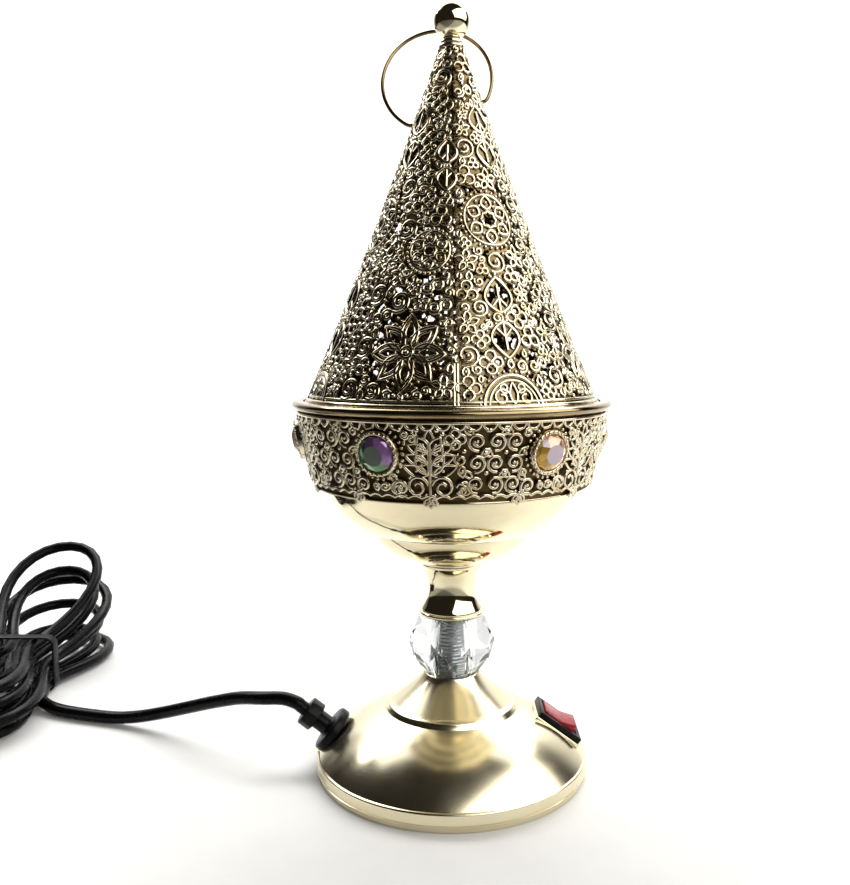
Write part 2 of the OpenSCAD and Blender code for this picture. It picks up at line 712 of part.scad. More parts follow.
module heater_screw_holes(h)
    for (x = [-1, 1]) translate([x * heater_screw_r, 0, 0]) hole(heater_screw_d + 2 * fit, h);
module heater_cup() color(ceramic) difference() {
    union() {
        translate([0, 0, cup_z]) cylinder(r = cup_r, h = cup_depth + cup_flange_t);
        translate([0, 0, deck_top]) cylinder(r = cup_flange_r, h = cup_flange_t);
    }
    translate([0, 0, cup_z + cup_floor]) cylinder(r = cup_r - cup_wall, h = cup_depth + cup_flange_t);
    for (x = [-1, 1]) translate([x * tab_x, 0, cup_z]) hole(2 * tab_r, cup_floor);
    translate([0, 0, deck_top]) heater_screw_holes(cup_flange_t);
}
module heater_element() color(steel) translate([0, 0, cup_z + cup_floor])
    cylinder(r = cup_r - cup_wall - element_gap, h = element_h);
module heater_plate() color([0.72, 0.72, 0.74]) translate([0, 0, heater_z]) difference() {
    cylinder(r = heater_r, h = heater_t);
    heater_screw_holes(heater_t);
}
module heater_screws() color(steel) for (x = [-1, 1]) translate([x * heater_screw_r, 0, 0]) {
    foot_z = bowl_lip_z - heater_screw_end;
    translate([0, 0, foot_z]) cylinder(d = heater_screw_d, h = dish_z + heater_screw_head - foot_z);
    translate([0, 0, dish_z]) cylinder(d = 2 * heater_screw_d, h = heater_screw_head);
}
module incense_dish() color(gold) translate([0, 0, dish_z]) rotate_extrude() polygon([[0, 0],
    [dish_foot_r, 0], [dish_r - dish_rim, dish_h - dish_t], [dish_r, dish_h - dish_t],
    [dish_r, dish_h], [dish_r - dish_rim - dish_side, dish_h], [dish_foot_r - dish_side, dish_t],
    [0, dish_t]]);

// Switch

module rocker_outline() {
    half = rocker_size[0] / 2;
    polygon([[-half, -rocker_edge], [-half, rocker_crown], [0, rocker_crown - rocker_dip],
        [half, rocker_crown], [half, -rocker_edge], [rocker_root, -rocker_depth],
        [-rocker_root, -rocker_depth]]);
}
module switch_housing() color(black) switch_frame() difference() {
    union() {
        block(bezel, 0, bezel_t);
        block(switch_body, -switch_depth, switch_depth);
    }
    block(rocker_slot, -rocker_well, rocker_well + bezel_t + past);
    translate([0, 0, rocker_pivot_z]) rotate([90, 0, 0])
        cylinder(r = rocker_pin_r + fit, h = rocker_bore_l, center = true);
}
module switch_rocker() color([0.75, 0.06, 0.05]) switch_frame() translate([0, 0, rocker_pivot_z])
    rotate([0, -rocker_tip, 0]) {
        translate([0, rocker_size[1] / 2, -rocker_pivot_z]) rotate([90, 0, 0])
            linear_extrude(rocker_size[1]) rocker_outline();
        rotate([90, 0, 0])
            cylinder(r = rocker_pin_r, h = rocker_size[1] + 2 * rocker_pin_out, center = true);
    }
module switch_terminals() color([0.8, 0.68, 0.35]) switch_frame()
    for (x = [-1, 1]) translate([x * blade_x, 0, 0]) block(blade, -switch_depth - blade[2], blade[2]);

// Cord bushing and wires

module cord_bushing() color(black) difference() {
    union() {
        bushing_frame(-barrel_reach) cylinder(d = barrel_d, h = barrel_reach + flange_t);
        bushing_frame(-sheet - barb_gap - barb_h) cylinder(d = barb_d, h = barb_h);
        bushing_frame(0) cylinder(d = flange_d, h = flange_t);
        bushing_frame(0) cylinder(d = bushing_neck_d, h = bushing_end);
        bushing_frame(bushing_end - collar_h) rotate([0, 0, 180 / collar_sides])
            cylinder(d = collar_d / cos(180 / collar_sides), h = collar_h, $fn = collar_sides);
    }
    bushing_frame(-barrel_reach) hole(2 * cord_hole_r, bushing_end + barrel_reach);
}
module cord_end() color(black) bushing_frame(cord_end_at)
    cylinder(d = cord_d, h = bushing_end - cord_end_at);
module neutral_wire() color([0.2, 0.35, 0.75]) tube(smooth(neutral_route), wire_d, wire_sides);
module supply_wire() color([0.45, 0.28, 0.15]) tube(smooth(supply_route), wire_d, wire_sides, [0, 0, 1]);
module live_wire() color([0.45, 0.28, 0.15]) tube(smooth(live_route), wire_d, wire_sides, [0, 0, 1]);

// Lid

// Openings go through the sheet square to it: big ones in rows, small ones between and below them
module lid_hole(turn, z, d) on_lid(turn, z) cylinder(d = d, h = 6 * lid_t, center = true);
module lid_cone() color(gold) difference() {
    heights = [for (i = [0:lid_steps]) lid_z + lid_h * i / lid_steps];
    rotate_extrude() polygon(concat([for (z = heights) [lid_r(z), z]],
        reversed([for (z = heights) [lid_r(z) - lid_t, z]])));
    for (row = [0:lid_rows - 1]) {
        n = medallions - lid_row_fewer * row;
        z = lid_z + lid_first_row + row * lid_row_step;
        for (i = [0:n - 1]) {
            lid_hole(i * 360 / n, z, medallion_d - row * medallion_less_d);
            lid_hole((i + 0.5) * 360 / n, z - eyelet_drop, eyelet_d);
        }
    }
    bail_frame() rotate([0, 90, 0]) cylinder(d = bail_wire + 2 * fit, h = 4 * bail_half, center = true);
}
module lid_hem() color(gold) translate([0, 0, ledge_z]) difference() {
    cylinder(r = hem_r, h = hem_h);
    hole(2 * (hem_r - hem_w), hem_h);
}
module finial_ball() color(gold) difference() {
    union() {
        translate([0, 0, ball_z]) sphere(d = ball_d);
        translate([0, 0, lid_top]) cylinder(r = finial_collar_r, h = finial_collar_h + past);
    }
    translate([0, 0, lid_top]) hole(stud_d + 2 * fit, finial_collar_h + stud_in_ball);
}
module finial_stud() color(steel) translate([0, 0, lid_top - stud_reach])
    cylinder(d = stud_d, h = stud_reach + finial_collar_h + stud_in_ball);
module finial_washer() color(steel) translate([0, 0, finial_washer_z])
    washer(lid_r(finial_washer_z + finial_washer_t) - lid_t - 2 * fit, finial_washer_t, stud_d + 2 * fit);
module finial_nut() color(steel) translate([0, 0, finial_washer_z - finial_nut_h])
    hex_nut(finial_nut_flats, finial_nut_h, stud_d + 2 * fit);
module bail() color(gold) bail_frame() {
    end_turn = atan2(bail_rise, bail_half + bail_out);
    translate([0, 0, bail_rise]) rotate([90, 0, 0]) rotate([0, 0, -end_turn])
        rotate_extrude(angle = 180 + 2 * end_turn) translate([bail_r, 0]) circle(d = bail_wire);
    for (s = [-1, 1]) {
        translate([s * (bail_half + bail_out), 0, 0]) sphere(d = bail_wire);
        translate([s * (bail_half + (bail_out - bail_in) / 2), 0, 0]) rotate([0, 90, 0])
            cylinder(d = bail_wire, h = bail_out + bail_in, center = true);
    }
}

// Cord, hank and plug

module cord_lead() color(black) tube(smooth(lead_route), cord_d, 10);
module cord_hank() color(black) {
    hank_length = length_of(hank_points);
    ends_length = length_of(smooth(lead_route)) + length_of(smooth(tail_route));
    echo(hank_least_gap = nearest(hank_points, 6) - cord_d, hank_length = hank_length,
        cord_length = hank_length + ends_length);
    tube(hank_points, cord_d, 6, [1, 0, 0]);
}
module cord_tie() color(black) {
    room = cord_d / 2 + tie_room;
    low = hank_low + hank_tie_room;
    wide = [-hank_waist + hank_step / 2 - room, hank_waist + room];
    high = [low - room, low + tie_layers * hank_layer_h + room];
    size = [wide[1] - wide[0], high[1] - high[0]];
    translate([hank_x + (wide[0] + wide[1]) / 2, hank_y + tie_w / 2, (high[0] + high[1]) / 2])
        rotate([90, 0, 0]) linear_extrude(tie_w) difference() {
            round_rect(size[0] + 2 * tie_t, size[1] + 2 * tie_t, tie_round + tie_t);
            round_rect(size[0], size[1], tie_round);
        }
}
module cord_tail() color(black) tube(smooth(tail_route), cord_d, 10, [0, 0, 1]);
module plug_body() color(black) plug_frame() {
    half = [plug_shoulder_w / 2, plug_w / 2];
    rotate([0, 90, 0]) cylinder(d1 = sleeve_d[0], d2 = sleeve_d[1], h = plug_sleeve);
    translate([plug_sleeve, 0, -plug_body_t / 2]) linear_extrude(plug_body_t)
        polygon([[0, -half[0]], [plug_shoulder_l, -half[1]], [plug_body_l, -half[1]],
            [plug_body_l, half[1]], [plug_shoulder_l, half[1]], [0, half[0]]]);
}
module plug_pins() color(steel) plug_frame() for (y = [-1, 1])
    translate([plug_sleeve + plug_body_l, y * pin_pitch / 2, 0])
        rotate([0, 90, 0]) cylinder(d = pin_d, h = pin_l);

base_shell();
base_plate();
base_lugs();
base_screws();
stem_rod();
lower_washer();
lower_nut();
glass_bead();
column();
bowl();
upper_washer();
upper_nut();
deck_plate();
gallery_wall();
gallery_band();
gallery_rim();
stone_settings();
stones();
heater_cup();
heater_element();
heater_plate();
heater_screws();
incense_dish();
switch_housing();
switch_rocker();
switch_terminals();
cord_bushing();
cord_end();
neutral_wire();
supply_wire();
live_wire();
lid_cone();
lid_hem();
finial_ball();
finial_stud();
finial_washer();
finial_nut();
bail();
cord_lead();
cord_hank();
cord_tie();
cord_tail();
plug_body();
plug_pins();
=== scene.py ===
# %% [markdown]
# # An electric incense burner, dressed in Blender
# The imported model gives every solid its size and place. This lesson puts the real surfaces over it:
# turned and polished metal, stamped filigree, cut glass and black cord. Each step first says what the
# piece is on the real object and why it is made the way it is.

# %% Load the frame
import math

import bpy
import numpy as np
from mathutils import Matrix, Vector


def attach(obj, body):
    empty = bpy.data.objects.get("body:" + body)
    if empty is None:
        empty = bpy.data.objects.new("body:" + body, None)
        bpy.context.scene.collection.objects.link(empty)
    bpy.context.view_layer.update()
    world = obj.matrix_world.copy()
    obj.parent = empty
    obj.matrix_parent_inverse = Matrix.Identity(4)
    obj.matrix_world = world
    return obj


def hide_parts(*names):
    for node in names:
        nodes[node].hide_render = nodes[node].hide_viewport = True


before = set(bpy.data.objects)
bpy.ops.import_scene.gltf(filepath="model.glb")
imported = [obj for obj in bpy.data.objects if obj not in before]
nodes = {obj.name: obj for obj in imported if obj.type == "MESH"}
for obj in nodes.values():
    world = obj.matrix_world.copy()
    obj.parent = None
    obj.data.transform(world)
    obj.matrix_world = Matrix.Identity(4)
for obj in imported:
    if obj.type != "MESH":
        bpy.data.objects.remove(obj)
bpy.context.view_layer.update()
MM = 0.001


# %% [markdown]
# ## Small tools
# Operators act on whatever is selected, so every step begins by letting go of everything. A turned
# piece starts as one point that is extruded along its outline and then spun round the stem, as on a
# lathe. Drawing the outline in millimetres keeps the numbers close to those of a real drawing.

# %% Selecting, placing and joining
def let_go():
    if bpy.context.object and bpy.context.object.mode != "OBJECT":
        bpy.ops.object.mode_set(mode="OBJECT")
    bpy.ops.object.select_all(action="DESELECT")


def pick(piece):
    let_go()
    piece.select_set(True)
    bpy.context.view_layer.objects.active = piece


def settle(piece):
    """Puts a piece's place into its mesh."""
    pick(piece)
    bpy.ops.object.transform_apply(location=True, rotation=True, scale=True)
    return piece


def stand_at(piece, place):
    piece.matrix_world = place
    return settle(piece)


def fresh(name, place=None):
    """Names and settles the primitive that was just added."""
    piece = settle(bpy.context.object)
    piece.name = name
    return stand_at(piece, place) if place else piece


def new_piece(name, data):
    piece = bpy.data.objects.new(name, data)
    bpy.context.scene.collection.objects.link(piece)
    return piece


def join(name, pieces):
    pick(pieces[0])
    for piece in pieces:
        piece.select_set(True)
    bpy.ops.object.join()
    pieces[0].name = name
    return pieces[0]


# %% Turning
def one_point(name, place):
    """A new piece of one vertex in edit mode, ready to be extruded."""
    let_go()
    bpy.ops.mesh.primitive_plane_add(size=MM)
    piece = fresh(name)
    bpy.ops.object.mode_set(mode="EDIT")
    bpy.ops.mesh.select_mode(type="VERT")
    bpy.ops.mesh.select_all(action="SELECT")
    bpy.ops.mesh.merge(type="CENTER")
    bpy.ops.transform.translate(value=[v * MM for v in place])
    return piece


def draw_along(outline):
    """Extrudes the vertex along an outline of (x, z) points in millimetres."""
    for (x0, z0), (x1, z1) in zip(outline, outline[1:]):
        bpy.ops.mesh.extrude_vertices_move(
            TRANSFORM_OT_translate={"value": ((x1 - x0) * MM, 0, (z1 - z0) * MM)})
    bpy.ops.mesh.select_all(action="SELECT")


def close_mesh():
    """Turns all faces outwards and leaves edit mode."""
    bpy.ops.mesh.select_all(action="SELECT")
    bpy.ops.mesh.normals_make_consistent(inside=False)
    bpy.ops.object.mode_set(mode="OBJECT")


def lathe(name, outline, steps=96):
    """A turned piece from (radius, height) points. One that starts off the axis is closed to a ring."""
    first_r, first_z = outline[0]
    ring = outline + outline[:1] if first_r else outline
    piece = one_point(name, (first_r, 0, first_z))
    draw_along(ring)
    bpy.ops.mesh.spin(steps=steps, angle=2 * math.pi, center=(0, 0, 0), axis=(0, 0, 1))
    bpy.ops.mesh.select_all(action="SELECT")
    bpy.ops.mesh.remove_doubles(threshold=0.002 * MM)
    close_mesh()
    return piece


# %% Arcs and flowing curves
def arc(centre, r, start, end, n=12):
    """Points on an arc, angles in degrees."""
    angles = [math.radians(start + (end - start) * i / n) for i in range(n + 1)]
    return [(centre[0] + r * math.cos(a), centre[1] + r * math.sin(a)) for a in angles]


def flowing(points, n=6):
    """A smooth curve through points, n steps between each two."""
    p = [Vector(q) for q in points]
    last = len(p) - 1
    out = []
    for i in range(last):
        a, b, c, d = p[max(0, i - 1)], p[i], p[i + 1], p[min(last, i + 2)]
        for k in range(n):
            s = k / n
            out.append(0.5 * (2 * b + (c - a) * s + (2 * a - 5 * b + 4 * c - d) * s ** 2
                              + (3 * b - a - 3 * c + d) * s ** 3))
    return [tuple(q) for q in out + [p[last]]]


# %% Modifiers, smooth shading and the last step of every piece
def apply_all(piece):
    pick(piece)
    for modifier in list(piece.modifiers):
        bpy.ops.object.modifier_apply(modifier=modifier.name)
    return piece


def smooth(piece, angle=35):
    pick(piece)
    bpy.ops.object.shade_smooth_by_angle(angle=math.radians(angle))
    return piece


def soften(piece, width, segments=2, angle=30):
    """Rounds the edges that are sharper than an angle."""
    modifier = piece.modifiers.new("soft_edges", "BEVEL")
    modifier.width = width * MM
    modifier.segments = segments
    modifier.limit_method = "ANGLE"
    modifier.angle_limit = math.radians(angle)
    return smooth(apply_all(piece))


def cut(piece, tool, how="DIFFERENCE"):
    """Cuts one solid with another, and throws the cutter away."""
    modifier = piece.modifiers.new("cut", "BOOLEAN")
    modifier.operation = how
    modifier.solver = "EXACT"
    modifier.object = tool
    apply_all(piece)
    bpy.data.objects.remove(tool)
    return piece


def put_on(piece, finish, body="burner", stands_for=()):
    """Gives a finished piece its material, its body and the solids that it stands for."""
    piece.data.materials.clear()
    piece.data.materials.append(finish)
    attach(piece, body)
    if stands_for:
        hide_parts(*stands_for)
    print("made", piece.name, "faces:", len(piece.data.polygons) if piece.type == "MESH" else "curve")
    return piece


# %% [markdown]
# ## Camera
# The photograph was taken from a little above the rim, close to the burner, so the base shows its top
# and the bowl its underside. The lens and height were worked out from the rim, the base and the stem.
# The burner stands right of the middle of the picture, and a small shift of the lens does the same.

# %% The camera at the photograph's place
looks_down = 6.19
camera_data = bpy.data.cameras.new("photo_camera")
camera_data.lens = 36.33
camera_data.sensor_width = 36
camera_data.shift_x = -0.0301
camera_data.clip_start = 0.01
camera = new_piece("photo_camera", camera_data)
camera.location = (0, -0.300, 0.1455)
camera.rotation_euler = (math.radians(90 - looks_down), 0, 0)
bpy.context.scene.camera = camera
print("camera at", tuple(camera.location))


# %% [markdown]
# ## Finishes
# Plated metal, glass and plastic all need small changes over their surface to look real: plating is
# uneven, polish has cloudy patches, plastic has a fine grain. One helper makes each finish from three
# noises: a wide one for tone, a middle one for roughness and a fine one for bumps. They read Object
# coordinates, so the grain stays in place on the piece when it moves.

# %% Noise, and ramps over the range that it fills
noise_low, noise_high = 0.3, 0.7


def noise(tree, where, scale, detail=4.0):
    node = tree.nodes.new("ShaderNodeTexNoise")
    node.inputs["Scale"].default_value = scale
    node.inputs["Detail"].default_value = detail
    tree.links.new(where, node.inputs["Vector"])
    return node.outputs["Fac"]


def ramp(tree, value, tones):
    node = tree.nodes.new("ShaderNodeValToRGB")
    while len(node.color_ramp.elements) < len(tones):
        node.color_ramp.elements.new(0.5)
    for i, (element, tone) in enumerate(zip(node.color_ramp.elements, tones)):
        element.position = noise_low + (noise_high - noise_low) * i / (len(tones) - 1)
        element.color = (*tone, 1)
    tree.links.new(value, node.inputs["Fac"])
    return node.outputs["Color"]


def spread(tree, value, low, high):
    node = tree.nodes.new("ShaderNodeMapRange")
    node.inputs["From Min"].default_value = noise_low
    node.inputs["From Max"].default_value = noise_high
    node.inputs["To Min"].default_value = low
    node.inputs["To Max"].default_value = high
    tree.links.new(value, node.inputs["Value"])
    return node.outputs["Result"]


# %% One helper for all the finishes
def make_finish(name, tones, rough, grain, tone_scale=60, bump=0.1, bump_depth=0.00005, **sockets):
    """A material whose tone, roughness and bumps vary over the piece. Sockets are set as numbers."""
    material = bpy.data.materials.new(name)
    material.use_nodes = True
    tree = material.node_tree
    shader = tree.nodes["Principled BSDF"]
    where = tree.nodes.new("ShaderNodeTexCoord").outputs["Object"]
    tree.links.new(ramp(tree, noise(tree, where, tone_scale), tones), shader.inputs["Base Color"])
    tree.links.new(spread(tree, noise(tree, where, grain / 8), *rough), shader.inputs["Roughness"])
    if bump:
        node = tree.nodes.new("ShaderNodeBump")
        node.inputs["Strength"].default_value = bump
        node.inputs["Distance"].default_value = bump_depth
        tree.links.new(noise(tree, where, grain, 2.0), node.inputs["Height"])
        tree.links.new(node.outputs["Normal"], shader.inputs["Normal"])
    for socket, value in sockets.items():
        shader.inputs[socket.replace("_", " ")].default_value = value
    return material


def metal(name, tones, rough, grain, **details):
    return make_finish(name, tones, rough, grain, Metallic=1.0, **details)


def times_colour(material, value):
    """Multiplies a finish's colour by what another node gives."""
    tree = material.node_tree
    colour = tree.nodes["Principled BSDF"].inputs["Base Color"]
    mix = tree.nodes.new("ShaderNodeMix")
    mix.data_type = "RGBA"
    mix.blend_type = "MULTIPLY"
    mix.inputs["Factor"].default_value = 1.0
    tree.links.new(colour.links[0].from_socket, mix.inputs["A"])
    tree.links.new(value, mix.inputs["B"])
    tree.links.new(mix.outputs["Result"], colour)


# %% Gold plate: polished, satin and on the lace, and dark golds with painted shade for the lace's sheet, the rim and the wall in the lace's shadow
polished_gold = metal("polished_gold", [(0.80, 0.71, 0.48), (0.86, 0.78, 0.55)], (0.05, 0.10), 900,
                      bump=0.02, bump_depth=0.0002)
satin_gold = metal("satin_gold", [(0.79, 0.71, 0.50), (0.83, 0.75, 0.54)], (0.19, 0.22), 1200, bump=0.02)
filigree_gold = metal("filigree_gold", [(0.46, 0.37, 0.22), (0.69, 0.60, 0.43), (0.82, 0.74, 0.57)],
                      (0.08, 0.20), 3000, tone_scale=220, bump=0.15, bump_depth=0.00008)
# The lace's sheet is a very dark gold: painted shade that darkens the gaps between the strokes.
painted_shade_web_gold = metal("lace_web_painted_shade", [(0.10, 0.07, 0.03), (0.18, 0.13, 0.06), (0.28, 0.21, 0.11)],
                   (0.18, 0.32), 900, tone_scale=180, bump=0.4, bump_depth=0.0004)
# The rim, the lid's hem and the bail get a darker gold whose darkness is painted shade.
painted_shade_hoop_gold = metal("painted_shade_hoop_gold", [(0.22, 0.165, 0.085), (0.35, 0.28, 0.155)], (0.10, 0.18), 900,
                 bump=0.02, bump_depth=0.0002)
# The wall behind the gallery lace gets an almost black gold: painted shade where it lies behind the lace.
painted_shade_wall_gold = metal("painted_shade_wall_gold", [(0.06, 0.04, 0.018), (0.12, 0.085, 0.04)], (0.28, 0.45), 1800)

# %% Other metals and ceramic
zinc = metal("zinc_plate", [(0.42, 0.44, 0.46), (0.58, 0.60, 0.62)], (0.25, 0.42), 2400)
aluminium = metal("hot_plate_aluminium", [(0.60, 0.60, 0.62), (0.72, 0.72, 0.74)], (0.3, 0.5), 3000,
                  bump=0.15)
terminal_brass = metal("terminal_brass", [(0.62, 0.46, 0.20), (0.78, 0.60, 0.30)], (0.2, 0.4), 2500)
kiln_ceramic = make_finish("kiln_ceramic", [(0.72, 0.68, 0.60), (0.85, 0.82, 0.75)], (0.6, 0.85), 2200,
                           bump=0.4, bump_depth=0.0001)

# %% Plastics
black_cord = make_finish("black_cord_sheath", [(0.0016, 0.0016, 0.002), (0.004, 0.004, 0.0045)],
                         (0.22, 0.30), 2500, bump=0.15, bump_depth=0.00006, Specular_IOR_Level=0.09)
black_plastic = make_finish("black_switch_plastic", [(0.002, 0.002, 0.0024), (0.005, 0.005, 0.0056)],
                            (0.26, 0.38), 4000, bump=0.15, Specular_IOR_Level=0.12)
red_plastic = make_finish("red_rocker_plastic", [(0.22, 0.006, 0.010), (0.42, 0.016, 0.022)],
                          (0.18, 0.28), 500, tone_scale=150, bump=0.03, bump_depth=0.0002,
                          Transmission_Weight=0.25, Specular_IOR_Level=0.25, IOR=1.49)
blue_sleeve = make_finish("blue_wire_sleeve", [(0.03, 0.08, 0.35), (0.05, 0.13, 0.50)], (0.3, 0.45), 2500)
brown_sleeve = make_finish("brown_wire_sleeve", [(0.10, 0.045, 0.018), (0.16, 0.075, 0.03)],
                           (0.3, 0.45), 2500)

# %% Glass: clear for the bead, and tinted facet by facet with painted reflections for the stones
cut_glass = make_finish("cut_glass", [(0.68, 0.70, 0.70), (0.80, 0.81, 0.81)], (0.0, 0.012), 400, bump=0,
                        Transmission_Weight=1.0, IOR=1.5)
stone_glass = make_finish("stone_glass", [(0.9, 0.9, 0.9), (1.0, 1.0, 1.0)], (0.02, 0.06), 300, bump=0,
                          Metallic=0.45, Coat_Weight=1.0)
facet = stone_glass.node_tree.nodes.new("ShaderNodeAttribute")
facet.attribute_name = "facet"
times_colour(stone_glass, facet.outputs["Color"])
print("finishes:", len(bpy.data.materials))


# %% [markdown]
# ## Cord
# A thin black mains cord leaves the base through a bushing, dips to the table and is folded into a tied hank
# beside the burner, with the plug at its end. A bent tube could be swept by hand, but a curve with a round
# bevel keeps its thickness at every bend. The lead and the tail pass through listed points, and the hank
# follows the same loop as the solid: it spirals in and out, drawn in at its waist.

# %% The hank's loops
cord_d = 4.7
hank_centre = Vector((-184, 66, 2.4))
hank_loops, layer_loops, loop_steps = 5.5, 1.5, 48
loop_waist, loop_swell, loop_reach, loop_pinch = 13, 40, 62, 0.45
spiral_pitch, layer_rise, loop_wave, loop_lift = 5.6, 5.4, 1.4, 32


def eased(s):
    c = min(1, max(0, s))
    return c * c * (3 - 2 * c)


def outer_loop(a):
    across = math.cos(a) * (loop_waist + loop_swell * math.sin(a) ** 2)
    along = loop_reach * math.sin(a) * (1 - loop_pinch * math.cos(a) ** 2)
    return Vector((across, along))


def hank_point(t, nudge=0.009):
    a = 2 * math.pi * t
    way = (outer_loop(a + nudge) - outer_loop(a - nudge)).normalized()
    spiral = layer_loops - abs(layer_loops - t % (2 * layer_loops))
    flat = outer_loop(a) + spiral_pitch * spiral * Vector((-way.y, way.x))
    layers = sum(eased((t - k * layer_loops) / 0.5 + 0.5) for k in range(1, 4))
    lift = loop_lift * t / hank_loops * max(0, math.sin(a)) ** 2
    return hank_centre + Vector((flat.x, flat.y, loop_wave * math.cos(a) ** 2 + layer_rise * layers + lift))


def hank_heading(t, nudge=0.002):
    way = hank_point(t + nudge) - hank_point(t - nudge)
    return Vector((way.x, way.y, 0)).normalized()


first_t, last_t = -1 / 24, hank_loops + 1 / 24
way_in, way_out = hank_heading(first_t), hank_heading(last_t)
hank_start = hank_point(first_t) - 6 * way_in
hank_finish = hank_point(last_t) + 6 * way_out
steps = int((last_t - first_t) * loop_steps)
hank = [tuple(hank_point(first_t + (last_t - first_t) * i / steps)) for i in range(steps + 1)]
print("hank points:", len(hank))

# %% The cord's whole route
cord_exit = Vector((-50.938, 0, 19.211))
bushing_tilt = math.radians(38)
bushing_axis = Vector((-math.cos(bushing_tilt), 0, math.sin(bushing_tilt)))
lead = [cord_exit, cord_exit + 2 * bushing_axis, cord_exit + 4 * bushing_axis,
        (-59, 0.8, 22.9), (-66, 2, 22.5), (-76, 7, 20.5), (-87, 13, 16.5), (-98, 19, 12), (-109, 25, 7.5),
        (-120, 29, 4.2), (-130, 31.8, 2.6), (-140, 34.4, 2.4), (-148, 36.8, 2.4), (-155, 39.6, 2.4),
        (-161, 43.4, 2.6), hank_start - 5 * way_in, hank_start]
tail = [hank_finish, hank_finish + 6 * way_out,
        (-204, 38, 20.2), (-208.5, 30.5, 19.4), (-214.5, 24.5, 16.8), (-222, 21, 13.4), (-230, 20.5, 10.4),
        (-237.5, 24, 8.1), (-242.5, 30, 6.9), (-245, 37.5, 6.5), (-245, 45, 6.5)]
route = [Vector(p) for p in flowing(lead) + hank + flowing(tail)]


# %% The cord as one bevelled curve
def wire_curve(name, lines, thickness, rounds, caps=True):
    """Round wire along lines of (points, radius, closed), flat or in space, in millimetres."""
    data = bpy.data.curves.new(name, "CURVE")
    data.dimensions = "3D"
    data.bevel_depth = thickness / 2 * MM
    data.bevel_resolution = rounds
    data.use_fill_caps = caps
    for points, r, closed in lines:
        spline = data.splines.new("POLY")
        spline.points.add(len(points) - 1)
        for point, place in zip(spline.points, points):
            point.co = (*(v * MM for v in (*place, 0)[:3]), 1)
            point.radius = 2 * r / thickness
        spline.use_cyclic_u = closed
        spline.use_smooth = True
    return new_piece(name, data)


cord = wire_curve("mains_cord", [(route, cord_d / 2, False)], cord_d, 3)
put_on(cord, black_cord, stands_for=("cord_lead", "cord_hank", "cord_tail"))


# %% [markdown]
# ## Bushing
# The bushing is a moulded black grommet: a thick flange against the dome, a narrow neck that lets it
# bend and an eight-sided collar that grips the cord. The flange and neck are turned, the collar is
# turned in only eight steps, and bevels take the sharpness off as a mould would.

# %% The bushing and the stub of cord inside it
bushing_seat = Vector((-40.3, 0, 10.9))
bushing_turn = Vector((0, 0, 1)).rotation_difference(bushing_axis).to_matrix().to_4x4()
bushing_place = Matrix.Translation(bushing_seat * MM) @ bushing_turn
collar_sides, collar_r = 8, 5.19
turned = lathe("bushing_body", [(2.45, -5), (4.8, -5), (4.8, -3.4), (5.6, -3.2), (5.6, -1.9), (4.8, -1.8),
                                (4.8, 0), (7.4, 0), (8.0, 0.6), (8.0, 2.9), (7.4, 3.5), (4.6, 3.5),
                                (3.5, 4.1), (3.3, 4.8), (3.3, 8.7), (2.45, 8.7)], 48)
collar_outline = [(2.65, 8.5), (collar_r, 8.5), (collar_r, 13.5), (2.65, 13.5)]
collar = lathe("bushing_collar", collar_outline, collar_sides)
stand_at(collar, Matrix.Rotation(math.pi / collar_sides, 4, "Z"))
bushing = join("cord_bushing_moulded", [soften(turned, 0.3), soften(collar, 0.6)])
stand_at(bushing, bushing_place)
put_on(bushing, black_plastic, stands_for=("cord_bushing",))
stub_r, stub_low, stub_high = cord_d / 2, -9.4, 13.4
stub = lathe("cord_stub", [(0, stub_low), (stub_r, stub_low), (stub_r, stub_high), (0, stub_high)], 32)
stand_at(soften(stub, 0.3), bushing_place)
put_on(stub, black_cord, stands_for=("cord_end",))

# %% [markdown]
# ## Tie and plug
# A flat strip holds the hank at its waist, and the cord ends in a plain two-pin plug. The strip is a
# rounded outline drawn as a curve and given width and thickness. The plug starts as a block whose back
# is narrowed towards the cord, with bevels for the moulded edges and a ribbed sleeve turned round it.

# %% The tie round the hank
def as_mesh(curve):
    pick(curve)
    bpy.ops.object.convert(target="MESH")
    return bpy.context.object


def rounded_outline(width, height, r, n=6):
    x, y = width / 2 - r, height / 2 - r
    corners = [(x, y, 0), (-x, y, 90), (-x, -y, 180), (x, -y, 270)]
    return [p for cx, cy, start in corners for p in arc((cx, cy), r, start, start + 90, n)]


tie_width, tie_thickness = 5.0, 0.8
tie_outline = rounded_outline(29.7, 22.7, 3.4)
tie_place = Matrix.Translation((-0.1826, 0.066, 0.0119)) @ Matrix.Rotation(math.pi / 2, 4, "X")
tie = wire_curve("hank_tie", [(tie_outline, tie_thickness / 2, True)], tie_thickness, 2, caps=False)
tie.data.extrude = (tie_width - tie_thickness) / 2 * MM
tie = stand_at(as_mesh(tie), tie_place)
put_on(smooth(tie), black_cord, stands_for=("cord_tie",))


# %% The plug's body, narrowed towards the cord
def choose(piece, kind, test):
    """Goes to edit mode with the vertices or faces selected that pass a test."""
    pick(piece)
    bpy.ops.object.mode_set(mode="EDIT")
    bpy.ops.mesh.select_mode(type=kind)
    bpy.ops.mesh.select_all(action="DESELECT")
    bpy.ops.object.mode_set(mode="OBJECT")
    for part in piece.data.vertices if kind == "VERT" else piece.data.polygons:
        part.select = test(part)
    bpy.ops.object.mode_set(mode="EDIT")


